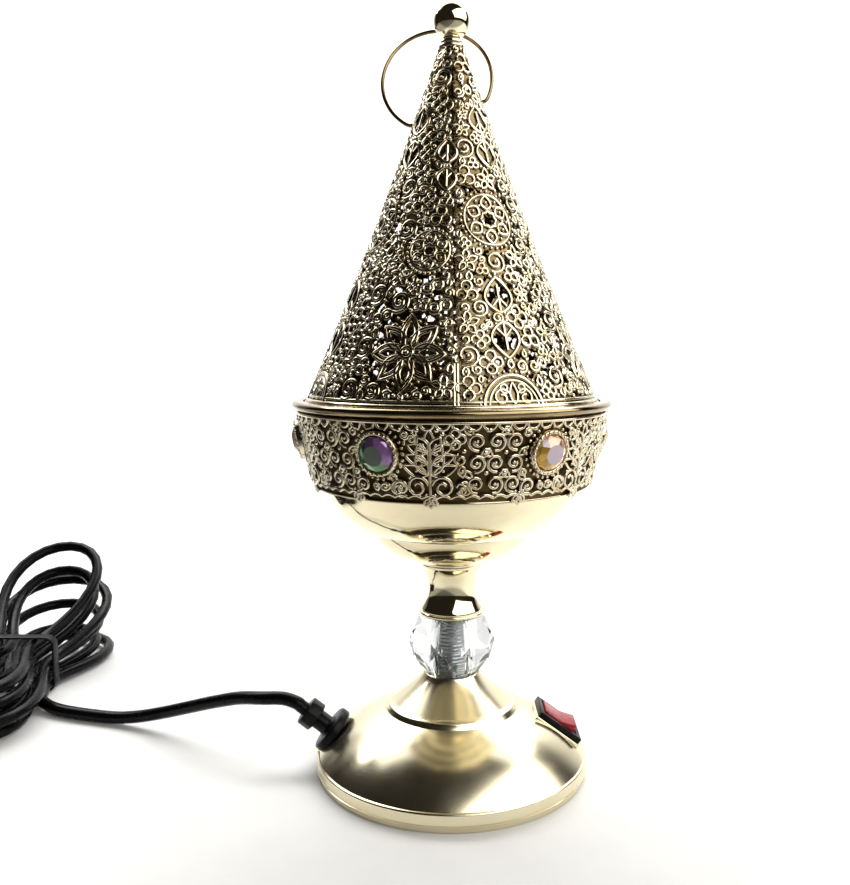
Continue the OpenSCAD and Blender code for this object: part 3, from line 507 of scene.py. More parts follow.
plug_back, plug_shoulder, plug_front = 0.014, 0.022, 0.048
let_go()
bpy.ops.mesh.primitive_cube_add(size=1, scale=(plug_front - plug_back, 0.026, 0.013),
                                location=((plug_front + plug_back) / 2, 0, 0))
plug = fresh("plug_moulded")
bpy.ops.object.mode_set(mode="EDIT")
bpy.ops.mesh.bisect(plane_co=(plug_shoulder, 0, 0), plane_no=(1, 0, 0))
choose(plug, "VERT", lambda vertex: vertex.co.x < plug_back + MM)
bpy.ops.transform.resize(value=(1, 0.40, 0.72), center_override=(plug_back, 0, 0))
bpy.ops.object.mode_set(mode="OBJECT")
soften(plug, 2.0, 4, 15)

# %% The ribbed sleeve and the pins
sleeve_bore, sleeve_r, sleeve_end = 2.36, 3.15, 15.0
ribs = [(sleeve_bore, 0), (sleeve_r, 0)]
for i in range(6):
    z = 1.2 + 2.0 * i
    r = sleeve_r + 0.22 * i
    ribs += [(r, z), (r, z + 1.1), (r - 0.5, z + 1.3), (r - 0.5, z + 1.9)]
sleeve = lathe("plug_sleeve", ribs + [(4.5, 13.2), (4.5, sleeve_end), (sleeve_bore, sleeve_end)], 32)
along_plug = Matrix.Rotation(math.pi / 2, 4, "Y")
stand_at(soften(sleeve, 0.15), along_plug)
plug_place = Matrix.Translation((-0.245, 0.045, 0.0065)) @ Matrix.Rotation(math.pi / 2, 4, "Z")
plug = stand_at(join("plug_moulded", [plug, sleeve]), plug_place)
put_on(plug, black_cord, stands_for=("plug_body",))
pin_outline = [(0, 47.6), (2.0, 47.6), (2.0, 65.0), (1.8, 66.2), (1.1, 66.9), (0, 67.0)]
pin_apart = 18.6
pins = []
for side in (-1, 1):
    pin_place = Matrix.Translation((0, side * pin_apart / 2 * MM, 0)) @ along_plug
    pins.append(stand_at(lathe("plug_pin", pin_outline, 24), pin_place))
pins = stand_at(join("plug_pins_turned", pins), plug_place)
put_on(smooth(pins), zinc, stands_for=("plug_pins",))


# %% [markdown]
# ## Base
# The base is one pressed sheet: an upright lip, a round dome, a steep crease and a neck that flares up to
# the bead. Turning a solid, turning its hollow and subtracting one from the other leaves a real sheet. Two
# seats are pressed in it: a raised flat pad for the switch and a round one for the bushing.

# %% Outlines of the dome outside and inside
sheet = 0.9
neck_z, neck_rise, neck_r, ring_r = 33.6, 10.9, 9.6, 22.4
lip_r, lip_top, dome_end_r = 46.7, 6.1, 23.2
dome_centre, dome_r = Vector((7.147, 0, -25.617)), 50.0
dome_mid = (dome_centre.x, dome_centre.z)


def neck_height(r):
    return neck_z - neck_rise * max(0, (r - neck_r) / (ring_r - neck_r)) ** 0.85


def dome_arc(r, low_z, end_r, n):
    """The dome's arc of radius r, from a height near the lip to a distance from the axis."""
    low = math.degrees(math.asin((low_z - dome_centre.z) / r))
    high = math.degrees(math.acos((end_r - dome_centre.x) / r))
    return arc(dome_mid, r, low, high, n)


neck_curve = [(r, neck_height(r)) for r in np.linspace(20.9, neck_r, 17)]
lip = [(46.2, 1.2), (46.55, 1.35), (lip_r, 1.7), (lip_r, 2.1), (46.45, 2.25), (46.45, 2.4), (lip_r, 2.55),
       (lip_r, 5.5), (46.6, 5.85), (46.35, 6.05), (46.0, lip_top)]
crease = [(22.97, 21.55), (22.84, 21.66), (22.3, 22.95), (22.15, 23.25), (21.85, 23.48), (21.4, 23.6)]
outside = ([(0, 1.2)] + lip + dome_arc(dome_r, lip_top, dome_end_r, 28)
           + crease + neck_curve + [(0, neck_z)])
inside = ([(0, 0.2), (lip_r - sheet, 0.2), (lip_r - sheet, lip_top - sheet)]
          + dome_arc(dome_r - sheet, lip_top - sheet, ring_r - sheet, 20)
          + [(r - sheet, neck_height(r - sheet / 2) - sheet) for r, _ in neck_curve] + [(0, neck_z - sheet)])

# %% The switch's own frame, and blocks drawn in it
tilt = math.radians(54)
slope_out = Vector((math.cos(tilt), 0, math.sin(tilt)))
slope_down = Vector((math.sin(tilt), 0, -math.cos(tilt)))
switch_place = Matrix((slope_down, Vector((0, 1, 0)), slope_out)).transposed().to_4x4()
switch_place.translation = (dome_centre + (dome_r - 0.1) * slope_out) * MM


def block(name, size, z0, place=None):
    let_go()
    middle = (0, 0, (z0 + size[2] / 2) * MM)
    bpy.ops.mesh.primitive_cube_add(size=1, scale=[s * MM for s in size], location=middle)
    return fresh(name, place)


def rod_block(name, r, z0, h, place=None, sides=64):
    let_go()
    middle = (0, 0, (z0 + h / 2) * MM)
    bpy.ops.mesh.primitive_cylinder_add(vertices=sides, radius=r * MM, depth=h * MM, location=middle)
    return fresh(name, place)


# %% The base sheet with its two seats
base = lathe("base_pressed", outside, 160)
hollow = lathe("base_hollow", inside, 160)
pad_l, pad_w, pad_h = 18.0, 15.5, 3.0
clear_h, pad_room = 20, 0.4
cut(base, soften(block("switch_pad", (pad_l, pad_w, pad_h), -pad_h, switch_place), 0.4, 3), "UNION")
pad_hollow = block("pad_hollow", (pad_l - 2 * sheet, pad_w - 2 * sheet, pad_h), -pad_h, switch_place)
cut(hollow, pad_hollow, "UNION")
cut(hollow, block("switch_pan", (pad_l, pad_w, clear_h), -sheet, switch_place))
cut(hollow, rod_block("bushing_pan", 9.3, -sheet, clear_h, bushing_place))
cut(base, block("switch_recess", (pad_l + pad_room, pad_w + pad_room, clear_h), 0, switch_place))
cut(base, rod_block("bushing_recess", 8.4, 0, clear_h, bushing_place))
cut(base, hollow)
cut(base, block("switch_window", (15, 12.5, 3), -2, switch_place))
cut(base, rod_block("bushing_window", 4.9, -2, 3, bushing_place))
cut(base, rod_block("rod_window", 5.0, neck_z - 3, 6))
put_on(smooth(base, 40), satin_gold, stands_for=("base_shell",))


# %% [markdown]
# ## Stem
# A hollow threaded rod runs up through the stem. A clear bead with cut facets shows it, and a small
# waisted column covers the rest. The thread is a real screw: one tooth, wound up the rod. The bead's
# rings of corners are each turned by half a facet, so its sides become the triangles of cut glass.

# %% The threaded rod
rod_r, rod_bore, rod_low, rod_high, thread_pitch = 4.88, 3.2, 24.69, 82.49, 1.25
plain_end = 0.6
tooth = [(rod_r - 0.45, 0), (rod_r - 0.05, 0.39), (rod_r, 0.5), (rod_r - 0.05, 0.61), (rod_r - 0.45, 1)]
tooth = [(r, rod_low + plain_end + thread_pitch * t) for r, t in tooth]
thread = one_point("rod_tooth", (tooth[0][0], 0, tooth[0][1]))
draw_along(tooth)
bpy.ops.object.mode_set(mode="OBJECT")
winding = thread.modifiers.new("thread", "SCREW")
winding.angle = 2 * math.pi
winding.screw_offset = thread_pitch * MM
winding.iterations = int((rod_high - rod_low - 2 * plain_end) / thread_pitch)
winding.steps = winding.render_steps = 28
winding.use_merge_vertices = True
winding.merge_threshold = 0.001 * MM
apply_all(thread)
core_r = rod_r - 0.3
core_outline = [(rod_bore, rod_low), (core_r, rod_low), (core_r, rod_high), (rod_bore, rod_high)]
core = lathe("rod_core", core_outline, 48)
rod = join("stem_thread", [core, thread])
put_on(smooth(rod, 50), zinc, stands_for=("stem_rod",))


# %% A helper for cut glass
def cut_gem(name, rings, facets):
    """Cut glass from rings of (radius, height), each turned by half a facet from the one below."""
    let_go()
    bpy.ops.mesh.primitive_circle_add(vertices=facets, radius=rings[0][0] * MM, fill_type="NGON",
                                      location=(0, 0, rings[0][1] * MM), rotation=(0, 0, math.pi / 2))
    piece = fresh(name)
    bpy.ops.object.mode_set(mode="EDIT")
    bpy.ops.mesh.select_mode(type="FACE")
    bpy.ops.mesh.select_all(action="SELECT")
    for (r0, z0), (r1, z1) in zip(rings, rings[1:]):
        middle = (0, 0, z1 * MM)
        bpy.ops.mesh.extrude_region_move(TRANSFORM_OT_translate={"value": (0, 0, (z1 - z0) * MM)})
        bpy.ops.transform.resize(value=(r1 / r0, r1 / r0, 1), center_override=middle)
        bpy.ops.transform.rotate(value=math.pi / facets, orient_axis="Z", center_override=middle)
    close_mesh()
    choose(piece, "FACE", lambda face: len(face.vertices) == 4)
    bpy.ops.mesh.quads_convert_to_tris(quad_method="SHORTEST_DIAGONAL")
    bpy.ops.object.mode_set(mode="OBJECT")
    return piece


# %% The cut glass bead
bead_h = 20.6
bead_steps = ((9.3, 0), (13.5, 0.28), (14.9, 0.53), (14.1, 0.74), (10.7, 1))
bead = cut_gem("cut_bead", [(r, neck_z + bead_h * t) for r, t in bead_steps], 10)
cut(bead, rod_block("bead_bore", 5.0, neck_z - 2, bead_h + 4, sides=72))
put_on(smooth(bead, 8), cut_glass, stands_for=("glass_bead",))

# %% The waisted column
column_z, column_h, column_bore = 54.19, 19.4, 5.0
foot_r, foot_round, waist_r, waist_flare = 10.6, 0.7, 8.25, 2.45
waist = []
for s in np.linspace(-1, 1, 25):
    height = column_z + column_h / 2 + s * (column_h / 2 - 1.9)
    waist.append((waist_r + waist_flare * abs(s) ** 2.2, height))
column_top = column_z + column_h
foot_bead = arc((foot_r, column_z + foot_round), foot_round, -90, 90, 8)
head_bead = arc((foot_r, column_top - foot_round), foot_round, -90, 90, 8)
column = lathe("column_turned", [(column_bore, column_z), (10.9, column_z)] + foot_bead + waist + head_bead
               + [(column_bore, column_top)], 128)
put_on(smooth(column, 50), polished_gold, stands_for=("column",))


# %% [markdown]
# ## Bowl and gallery wall
# Above the column sits a bowl spun in two round tiers, and on its lip a plain leaning wall with a rolled
# rim. They are mirror-bright, so each is turned in many steps: a mirror shows every flat. The rim's bead
# and the tiers' corners are drawn as small arcs, because real spun metal has no sharp inner corners.

# %% The bowl's outline, outside up and inside down
def arc_between(a, b, r, n=18, inset=0.0):
    """Points on the arc of radius r from a to b that bulges down and outwards."""
    ax, az = a
    bx, bz = b
    half = math.hypot(bx - ax, bz - az) / 2
    wx, wz = (bx - ax) / (2 * half), (bz - az) / (2 * half)
    rise = math.sqrt(r * r - half * half)
    cx, cz = (ax + bx) / 2 - rise * wz, (az + bz) / 2 + rise * wx
    start = math.degrees(math.atan2(az - cz, ax - cx))
    end = math.degrees(math.atan2(bz - cz, bx - cx))
    return arc((cx, cz), r - inset, start, end, n)


bowl_z, tier2_z, bowl_lip_z, bowl_bore, smooth_steps = 73.59, 84.59, 100.49, 5.0, 192
tier1 = ((12.8, bowl_z + 0.2), (27.9, tier2_z), 17.7)
tier2 = ((30.0, tier2_z), (43.4, bowl_lip_z - sheet), 23.1)
ledge = [(28.3, tier2_z - 0.12), (29.5, tier2_z - 0.12)]
bowl_lip = [(43.9, 99.72), (45.9, 99.62), (46.3, 99.8), (46.4, 100.1), (46.3, 100.4), (46.1, bowl_lip_z)]
bowl_up = ([(bowl_bore, bowl_z), (12.6, bowl_z)] + arc_between(*tier1) + ledge
           + arc_between(*tier2) + bowl_lip)
bowl_down = ([(42.5, bowl_lip_z)] + arc_between(*tier2, inset=sheet)[::-1]
             + arc_between(*tier1, inset=sheet)[::-1] + [(9.0, bowl_z + sheet), (bowl_bore, bowl_z + sheet)])
bowl = lathe("bowl_spun", bowl_up + bowl_down, smooth_steps)
put_on(smooth(bowl, 38), polished_gold, stands_for=("bowl",))

# %% The wall and the rolled rim
deck_top, deck_r, wall_top, wall_low_r, wall_high_r = 101.29, 43.2, 124.99, 45.6, 50.4
wall_foot_r, wall_head_r = wall_low_r - sheet, wall_high_r - sheet
wall_outline = [(wall_foot_r, bowl_lip_z), (wall_low_r, bowl_lip_z), (wall_high_r, wall_top),
                (wall_head_r, wall_top), (45.0, deck_top + sheet), (deck_r, deck_top + sheet),
                (deck_r, deck_top), (wall_foot_r, deck_top)]
wall = lathe("wall_rolled", wall_outline, smooth_steps)
# Its near-black gold is painted shade behind the lace.
put_on(smooth(wall, 38), painted_shade_wall_gold, stands_for=("gallery_wall",))
ledge_z, rim_r, rim_seat_r, rim_in_r, rim_round = 125.99, 52.9, 49.3, 46.9, 1.35
rim_bead = arc((rim_r - rim_round, wall_top + rim_round), rim_round, -90, 90, 14)
rim = lathe("rim_rolled", [(rim_in_r, wall_top)] + rim_bead
            + [(rim_seat_r + 0.15, wall_top + 2.7), (rim_seat_r, wall_top + 2.55), (rim_seat_r, ledge_z),
               (rim_in_r, ledge_z)], smooth_steps)
# Its darker gold is painted shade.
put_on(smooth(rim, 38), painted_shade_hoop_gold, stands_for=("gallery_rim",))


# %% [markdown]
# ## Lace in the flat
# The gallery and the lid are thin brass stamped with scrolls, flowers and rows of beads and pierced
# between them. A press works on flat sheet, so the lace is drawn flat here too: every line is a stroke of
# round wire, every bead a small ball. Rolling comes last, when the flat points are bent round the burner.

# %% Strokes, beads and the places of motifs
def new_lace():
    return {"strokes": [], "beads": [], "joins": []}


def stroke(lace, points, r=0.42, closed=False):
    lace["strokes"].append((points, r, closed))


def beads(lace, points, r=0.55):
    lace["beads"] += [(x, y, r) for x, y in points]


def at_place(place, turn=0.0):
    """Takes points from a motif's own place to its place on the flat sheet."""
    c, s = math.cos(turn), math.sin(turn)
    return lambda points: [(place[0] + c * x - s * y, place[1] + s * x + c * y) for x, y in points]


def spun(at, k, n, offset=0.0):
    """The k-th of n places round a motif's middle."""
    step = at_place((0, 0), 2 * math.pi * (k + offset) / n)
    return lambda points: at(step(points))


def mirrored(at, x_way, y_way=1):
    return lambda points: at([(x_way * x, y_way * y) for x, y in points])


# %% Simple lines
def circle(r, n=0, centre=(0, 0)):
    n = n or max(8, int(6 + 4 * r))
    return arc(centre, r, 0, 360 - 360 / n, n - 1)


def petal(low, high, width, n=8):
    """A pointed petal from low to high, widest above its middle."""
    steps = [i / n for i in range(n + 1)]
    side = [(width / 2 * math.sin(math.pi * s ** 0.85), low + (high - low) * s) for s in steps]
    return side + [(-x, y) for x, y in side[-2:0:-1]]


def curl(r, start, turns, n=18, centre=(0, 0)):
    """A scroll that winds in from radius r."""
    out = []
    for i in range(n + 1):
        a = math.radians(start) + 2 * math.pi * turns * i / n
        k = r * (1 - 0.72 * i / n)
        out.append((centre[0] + k * math.cos(a), centre[1] + k * math.sin(a)))
    return out


# %% Large motifs of the lace, in shares of their size
def daisy(lace, at, r):
    for k in range(8):
        leaf = spun(at, k, 8)
        stroke(lace, leaf(petal(0.13 * r, r, 0.47 * r, 10)), 0.4, True)
        stroke(lace, leaf(petal(0.3 * r, 0.8 * r, 0.24 * r)), 0.3, True)
        between = spun(at, k, 8, 0.5)
        beads(lace, between([(0, 0.98 * r), (-0.09 * r, 0.84 * r), (0.09 * r, 0.84 * r), (0, 0.7 * r)]))
    stroke(lace, at(circle(0.15 * r)), 0.45, True)
    beads(lace, at([(0, 0)]), 0.9)


def rosette(lace, at, r):
    beads(lace, at(circle(r, 30)), 0.62)
    stroke(lace, at(circle(0.88 * r, 40)), 0.38, True)
    for k in range(6):
        stroke(lace, spun(at, k, 6)(petal(0.36 * r, 0.84 * r, 0.4 * r)), 0.42, True)
        beads(lace, spun(at, k, 6)([(0, 0.6 * r)]), 0.6)
        beads(lace, spun(at, k, 6, 0.5)([(0, 0.55 * r), (0, 0.74 * r)]), 0.6)
    scallop = []
    for a in (math.radians(15 * i) for i in range(24)):
        q = (0.27 + 0.04 * math.cos(8 * a)) * r
        scallop.append((q * math.cos(a), q * math.sin(a)))
    stroke(lace, at(scallop), 0.5, True)


def leaf_pair(lace, at, h):
    for way in (-1, 1):
        half = mirrored(at, 1, way)
        stroke(lace, half(petal(0.05 * h, 0.5 * h, 0.36 * h, 12)), 0.5, True)
        stroke(lace, half([(0, 0.05 * h), (0, 0.4 * h)]), 0.45)
        for side in (1, -1):
            stroke(lace, half([(0, 0.24 * h), (side * 0.09 * h, 0.14 * h)]), 0.35)
        beads(lace, half([(0, 0.54 * h), (-0.06 * h, 0.5 * h), (0.06 * h, 0.5 * h)]), 0.6)
    beads(lace, at([(0, 0), (-0.05 * h, 0), (0.05 * h, 0)]), 0.75)


def fan(lace, at, r):
    for k, width in ((1.0, 0.5), (0.84, 0.35)):
        stroke(lace, at(arc((0, 0), k * r, 0, 180, 24)), width)
    beads(lace, at(arc((0, 0), 1.13 * r, 6, 174, 16)), 0.55)
    for side in (-1, 1):
        half = mirrored(at, side)
        stroke(lace, half(curl(0.3 * r, 180, -1.3, centre=(0.4 * r, 0.3 * r))), 0.36)
        stroke(lace, half(curl(0.18 * r, 250, 1.2, 12, (0.28 * r, 0.6 * r))), 0.32)
    stroke(lace, at(petal(0.08 * r, 0.78 * r, 0.26 * r)), 0.36, True)


# %% Small motifs that fill what is left
def quatrefoil(lace, at, r, wire):
    for k in range(4):
        stroke(lace, spun(at, k, 4)(circle(0.4 * r, 10, (0, 0.5 * r))), wire, True)
    beads(lace, at([(0, 0)]), 0.2 * r)


def twin_curls(lace, at, r, wire):
    for k in range(2):
        stroke(lace, spun(at, k, 2)(curl(0.5 * r, 200, -1.4, 14, (0.42 * r, 0.1 * r))), wire)
    beads(lace, at([(0, 0.7 * r), (0, -0.7 * r)]), 0.2 * r)


def little_flower(lace, at, r, wire):
    for k in range(5):
        stroke(lace, spun(at, k, 5)(petal(0.16 * r, 0.94 * r, 0.52 * r, 5)), wire, True)
    beads(lace, at([(0, 0)]), 0.2 * r)


def lone_curl(lace, at, r, wire):
    stroke(lace, at(curl(0.9 * r, -120, 1.5)), wire)
    beads(lace, at([(0, 0)]), 0.18 * r)


def trefoil(lace, at, r, wire):
    for k in range(3):
        stroke(lace, spun(at, k, 3)(circle(0.42 * r, 9, (0, 0.46 * r))), wire, True)


def filler(lace, at, r, count, solid, wire=0.42):
    """A small motif that fills a circle. A solid one has a bead in its middle where there is room."""
    if r > 2.2:
        kinds = (quatrefoil, twin_curls, little_flower, lone_curl, trefoil)
        kinds[count % len(kinds)](lace, at, r, wire)
    elif r > 1.2 and count % 2:
        stroke(lace, at(curl(0.95 * r, 30 * count, 1.2, 10)), wire)
    elif r > 1.2:
        stroke(lace, at(petal(-0.9 * r, 0.9 * r, 1.1 * r, 5)), wire, True)
        if solid:
            beads(lace, at([(0, 0)]), 0.4 * r)
    else:
        beads(lace, at([(0, 0)]), 0.8 * r)


# %% Circles for the small motifs
def grid_of(xs, ys):
    gx, gy = np.meshgrid(xs, ys)
    return np.stack([gx.ravel(), gy.ravel()], axis=1)


def distances(spots, place, period=None):
    dx = spots[:, 0] - place[0]
    if period:
        dx = (dx + period / 2) % period - period / 2
    return np.hypot(dx, spots[:, 1] - place[1])


def keep_clear(spots, room, circles, period=None):
    for x, y, r in circles:
        room = np.minimum(room, distances(spots, (x, y), period) - r)
    return room


def pack_circles(spots, room, sizes, period=None):
    """Fills a region with circles, largest first, each as close as can be to those before it."""
    found = []
    for r in sizes:
        while True:
            free = np.nonzero(room >= r)[0]
            if len(free) == 0:
                break
            k = free[np.argmin(room[free])]
            found.append((spots[k, 0], spots[k, 1], r))
            room = keep_clear(spots, room, found[-1:], period)
    return found


# %% From strokes and beads to a mesh
def mesh_piece(name, points, faces):
    mesh = bpy.data.meshes.new(name)
    mesh.from_pydata(points.tolist(), [], faces)
    return new_piece(name, mesh)


def wire_mesh(name, strokes):
    return as_mesh(wire_curve(name, strokes, 1.0, 1))


def bead_mesh(name, places):
    """Many small balls in one mesh, each a copy of one low ball."""
    let_go()
    bpy.ops.mesh.primitive_uv_sphere_add(segments=8, ring_count=4, radius=1)
    ball = bpy.context.object
    corners = np.array([v.co for v in ball.data.vertices])
    faces = [tuple(f.vertices) for f in ball.data.polygons]
    bpy.data.objects.remove(ball)
    points = np.concatenate([(corners * r + (x, y, 0)) * MM for x, y, r in places])
    first = range(0, len(points), len(corners))
    return mesh_piece(name, points, [tuple(v + i for v in f) for i in first for f in faces])


# %% The thin sheet that joins strokes and beads
def marks_along(lace, step):
    """Points along the strokes, and the beads and joins."""
    ways = []
    for points, r, closed in lace["strokes"]:
        loop = points + points[:1] if closed else points
        for (x0, y0), (x1, y1) in zip(loop, loop[1:]):
            n = max(1, int(math.hypot(x1 - x0, y1 - y0) / step))
            ways += [(x0 + (x1 - x0) * i / n, y0 + (y1 - y0) * i / n) for i in range(n)]
    return np.concatenate([np.array(ways + lace["joins"]), np.array(lace["beads"])[:, :2]])


def web_mesh(name, marks, spread_by, step, inside):
    """A grid that is kept only near the marks, as near to each as spread_by says."""
    margin = 2
    low = marks.min(axis=0) - margin
    cells = np.ceil((marks.max(axis=0) + margin - low) / step).astype(int)
    near = np.zeros(cells, bool)
    at_cell = np.round((marks - low) / step).astype(int)
    reach = int(spread_by.max() / step)
    for i in range(-reach, reach + 1):
        for j in range(-reach, reach + 1):
            some = at_cell[spread_by >= math.hypot(i, j) * step] + (i, j)
            near[tuple(np.clip(some, 0, cells - 1).T)] = True
    xs, ys = (low[axis] + step * np.arange(cells[axis]) for axis in (0, 1))
    xs, ys = np.meshgrid(xs, ys, indexing="ij")
    near &= inside(xs, ys)
    whole = near[:-1, :-1] & near[1:, :-1] & near[1:, 1:] & near[:-1, 1:]
    number = np.arange(near.size).reshape(near.shape)
    faces = np.stack([number[:-1, :-1], number[1:, :-1], number[1:, 1:], number[:-1, 1:]], axis=-1)[whole]
    used, faces = np.unique(faces, return_inverse=True)
    points = np.stack([xs.ravel()[used], ys.ravel()[used], np.zeros(len(used))], axis=1) * MM
    return mesh_piece(name, points, faces.reshape(-1, 4).tolist())


def roll(piece, bend):
    """Bends a flat piece: bend takes an array of flat points in millimetres to points round the burner."""
    flat = np.empty(3 * len(piece.data.vertices))
    piece.data.vertices.foreach_get("co", flat)
    piece.data.vertices.foreach_set("co", (bend(flat.reshape(-1, 3) / MM) * MM).ravel())
    piece.data.update()
    return piece


# %% [markdown]
# ## Gallery
# Round the wall lies a band of open filigree in six repeats, each with one stone, a palmette and scrolls.
# Only one repeat is drawn; the rest are the same strokes bent round at the next sixth. The wall, dark with
# painted shade, shows between the strokes, so no sheet joins them here, only a thin wire along the top and a
# wavy one below.

# %% Motifs of the band
def palmette(lace, at):
    """A tree of loops on one stem, with two pairs of scrolls at its foot."""
    stroke(lace, at([(0, -3.2), (0, 13)]), 0.55)
    stroke(lace, at(petal(12.4, 16.8, 2.4)), 0.45, True)
    for side in (-1, 1):
        half = mirrored(at, side)
        stroke(lace, half(curl(3.4, 170, -1.4, centre=(3.8, -0.2))), 0.58)
        stroke(lace, half(curl(2.5, 165, -1.4, centre=(10.0, -0.8))), 0.52)
        for height, reach in ((3.2, 6.4), (6.6, 5.6), (9.8, 4.8)):
            for lean in (0.55, 1.2):
                leaf = at_place((0.3, height), -lean)
                tip = reach + 1.4 * lean
                stroke(lace, half(leaf(petal(0.5, tip, 3.2))), 0.48, True)
                beads(lace, half(leaf([(0, tip + 0.8), (0, 0.6 * reach)])), 0.55)


scroll_pitch = (5.6, 6.3)


def scroll_field(lace, at, columns, rows):
    """Rows of scrolls that wind by turns left and right, with a leaf and a bead between neighbours."""
    for i in range(columns):
        for j in range(rows):
            way = 1 if (i + j) % 2 else -1
            x0, y0 = scroll_pitch[0] * i, scroll_pitch[1] * j
            leaf = at_place((x0 + way * 1.2, y0 + 1.9), -0.8 * way)
            stroke(lace, at([(x0 + way * x, y0 + y) for x, y in curl(2.75, -100, 1.35, 20)]), 0.55)
            stroke(lace, at(leaf(petal(0, 3.4, 1.7, 6))), 0.42, True)
            beads(lace, at([(x0, y0), (x0 + 0.5 * scroll_pitch[0], y0 + 0.5 * scroll_pitch[1])]), 0.6)


def fleuron(lace, at):
    for k in (-1, 0, 1):
        stroke(lace, at(at_place((0, 0), math.pi + 0.7 * k)(petal(0.4, 3.0, 1.7, 6))), 0.46, True)
    beads(lace, at([(0, 0.4), (-1.3, 0.9), (1.3, 0.9)]), 0.6)


# %% One repeat of the band: u runs round it and v up it
sixths_n, stone_turn, stone_z, stone_r = 6, math.radians(4.7), 114.79, 5.5
band_r, band_low, band_high = 48.8, 1.9, 22.6
repeat = 2 * math.pi * band_r / sixths_n
stone_v = stone_z - bowl_lip_z
tree_u, field_u, field_v, field_n, sprig_u = 15.3, 28.6, 5.6, 3, 42.3
lone_scrolls = [(45.0, 4.6), (6.6, 4.4)]
band_lace = new_lace()
palmette(band_lace, at_place((tree_u, 5.0)))
scroll_field(band_lace, at_place((field_u, field_v)), field_n, field_n)
for place in lone_scrolls:
    scroll_field(band_lace, at_place(place), 1, 1)
fleuron(band_lace, at_place((tree_u, 1.6)))
fleuron(band_lace, at_place((sprig_u, 2.2)))
beads(band_lace, circle(7.7, 26, (0, stone_v)), 0.6)
taken = [(0, stone_v, 8.2), (tree_u, 5, 8), (tree_u, 12, 7), (tree_u, 17, 4), (sprig_u, 1.5, 2.6)]
taken += [(u, v, 3.0) for u, v in lone_scrolls]
taken += [(field_u + scroll_pitch[0] * i, field_v + scroll_pitch[1] * j, 3.0)
          for i in range(field_n) for j in range(field_n)]
spots = grid_of(np.arange(0, repeat, 0.5), np.arange(1, 23, 0.5))
room = np.minimum(spots[:, 1] - band_low, band_high - spots[:, 1])
room = keep_clear(spots, room, taken, repeat)
for count, (x, y, r) in enumerate(pack_circles(spots, room, (2.9, 2.3, 1.7, 1.3, 0.9), repeat)):
    filler(band_lace, at_place((x, y), 2.4 * count), 1.12 * r, count, True, 0.52)

# %% The band's edges
scallops, top_v, foot_v = 12, 23.5, 1.5
for k in range(scallops):
    stroke(band_lace, arc((repeat * (k + 0.5) / scallops, top_v - 0.2), 1.75, 180, 360, 10), 0.5)
wave = [(repeat * i / 96, foot_v + 0.8 * abs(math.sin(math.pi * i / 8))) for i in range(97)]
stroke(band_lace, wave, 0.55)
stroke(band_lace, [(repeat * i / 48, top_v) for i in range(49)], 0.5)
print("band lace, one sixth:", len(band_lace["strokes"]), "strokes", len(band_lace["beads"]), "beads")

# %% Bending the band round the wall
wall_lean = math.atan2(wall_high_r - wall_low_r, wall_top - bowl_lip_z)
band_gap, band_proud, band_relief = 0.7, 0.5, 0.8


def band_inner_r(z):
    return wall_low_r + (z - bowl_lip_z) * math.tan(wall_lean) + band_gap


def round_wall(flat, k=0):
    z = bowl_lip_z + flat[:, 1]
    out = band_relief * flat[:, 2] + band_proud
    r = band_inner_r(z) + out * math.cos(wall_lean)
    turn = stone_turn + flat[:, 0] / band_r + 2 * math.pi * k / sixths_n
    return np.stack([r * np.cos(turn), r * np.sin(turn), z - out * math.sin(wall_lean)], axis=1)


sixths = []
for k in range(sixths_n):
    lines = wire_mesh("band_lines", band_lace["strokes"])
    sixth = join("band_sixth", [lines, bead_mesh("band_beads", band_lace["beads"])])
    sixths.append(roll(sixth, lambda flat: round_wall(flat, k)))
band = join("gallery_filigree", sixths)
put_on(smooth(band, 80), filigree_gold, stands_for=("gallery_band",))


# %% [markdown]
# ## Stones
# Each of the six stones is coated glass whose facets show two colours and a grey between them, in a ring of
# small beads. A stone is built as the bead is, ring by ring, and each facet's colour is kept with the mesh.
# The coating's colours are real, but they are painted on by which way each facet leans, with facets made
# brighter and darker in turn, so they are painted reflections and painted glints.

# %% A place on the band, and the stones' tones
def band_place(azimuth, z):
    """A frame on the band's inner face: x runs down the wall and z stands out from it."""
    c, s = math.cos(wall_lean), math.sin(wall_lean)
    away = Vector((math.cos(azimuth), math.sin(azimuth), 0))
    out = c * away - Vector((0, 0, s))
    down = -s * away - Vector((0, 0, c))
    place = Matrix((down, out.cross(down), out)).transposed().to_4x4()
    place.translation = (away * band_inner_r(z) + Vector((0, 0, z))) * MM
    return place


# For each stone: the coating's colours, painted as reflections on facets that lean one way and the other,
# and the grey between them.
moods = [((0.30, 0.16, 0.03), (0.55, 0.33, 0.10), (0.16, 0.12, 0.07)),
         ((0.42, 0.38, 0.30), (0.62, 0.50, 0.28), (0.22, 0.20, 0.17)),
         ((0.25, 0.14, 0.30), (0.05, 0.20, 0.08), (0.14, 0.15, 0.17)),
         ((0.34, 0.20, 0.12), (0.16, 0.28, 0.20), (0.15, 0.15, 0.14)),
         ((0.26, 0.13, 0.32), (0.05, 0.24, 0.05), (0.12, 0.15, 0.12)),
         ((0.72, 0.42, 0.28), (0.60, 0.36, 0.06), (0.30, 0.25, 0.29))]


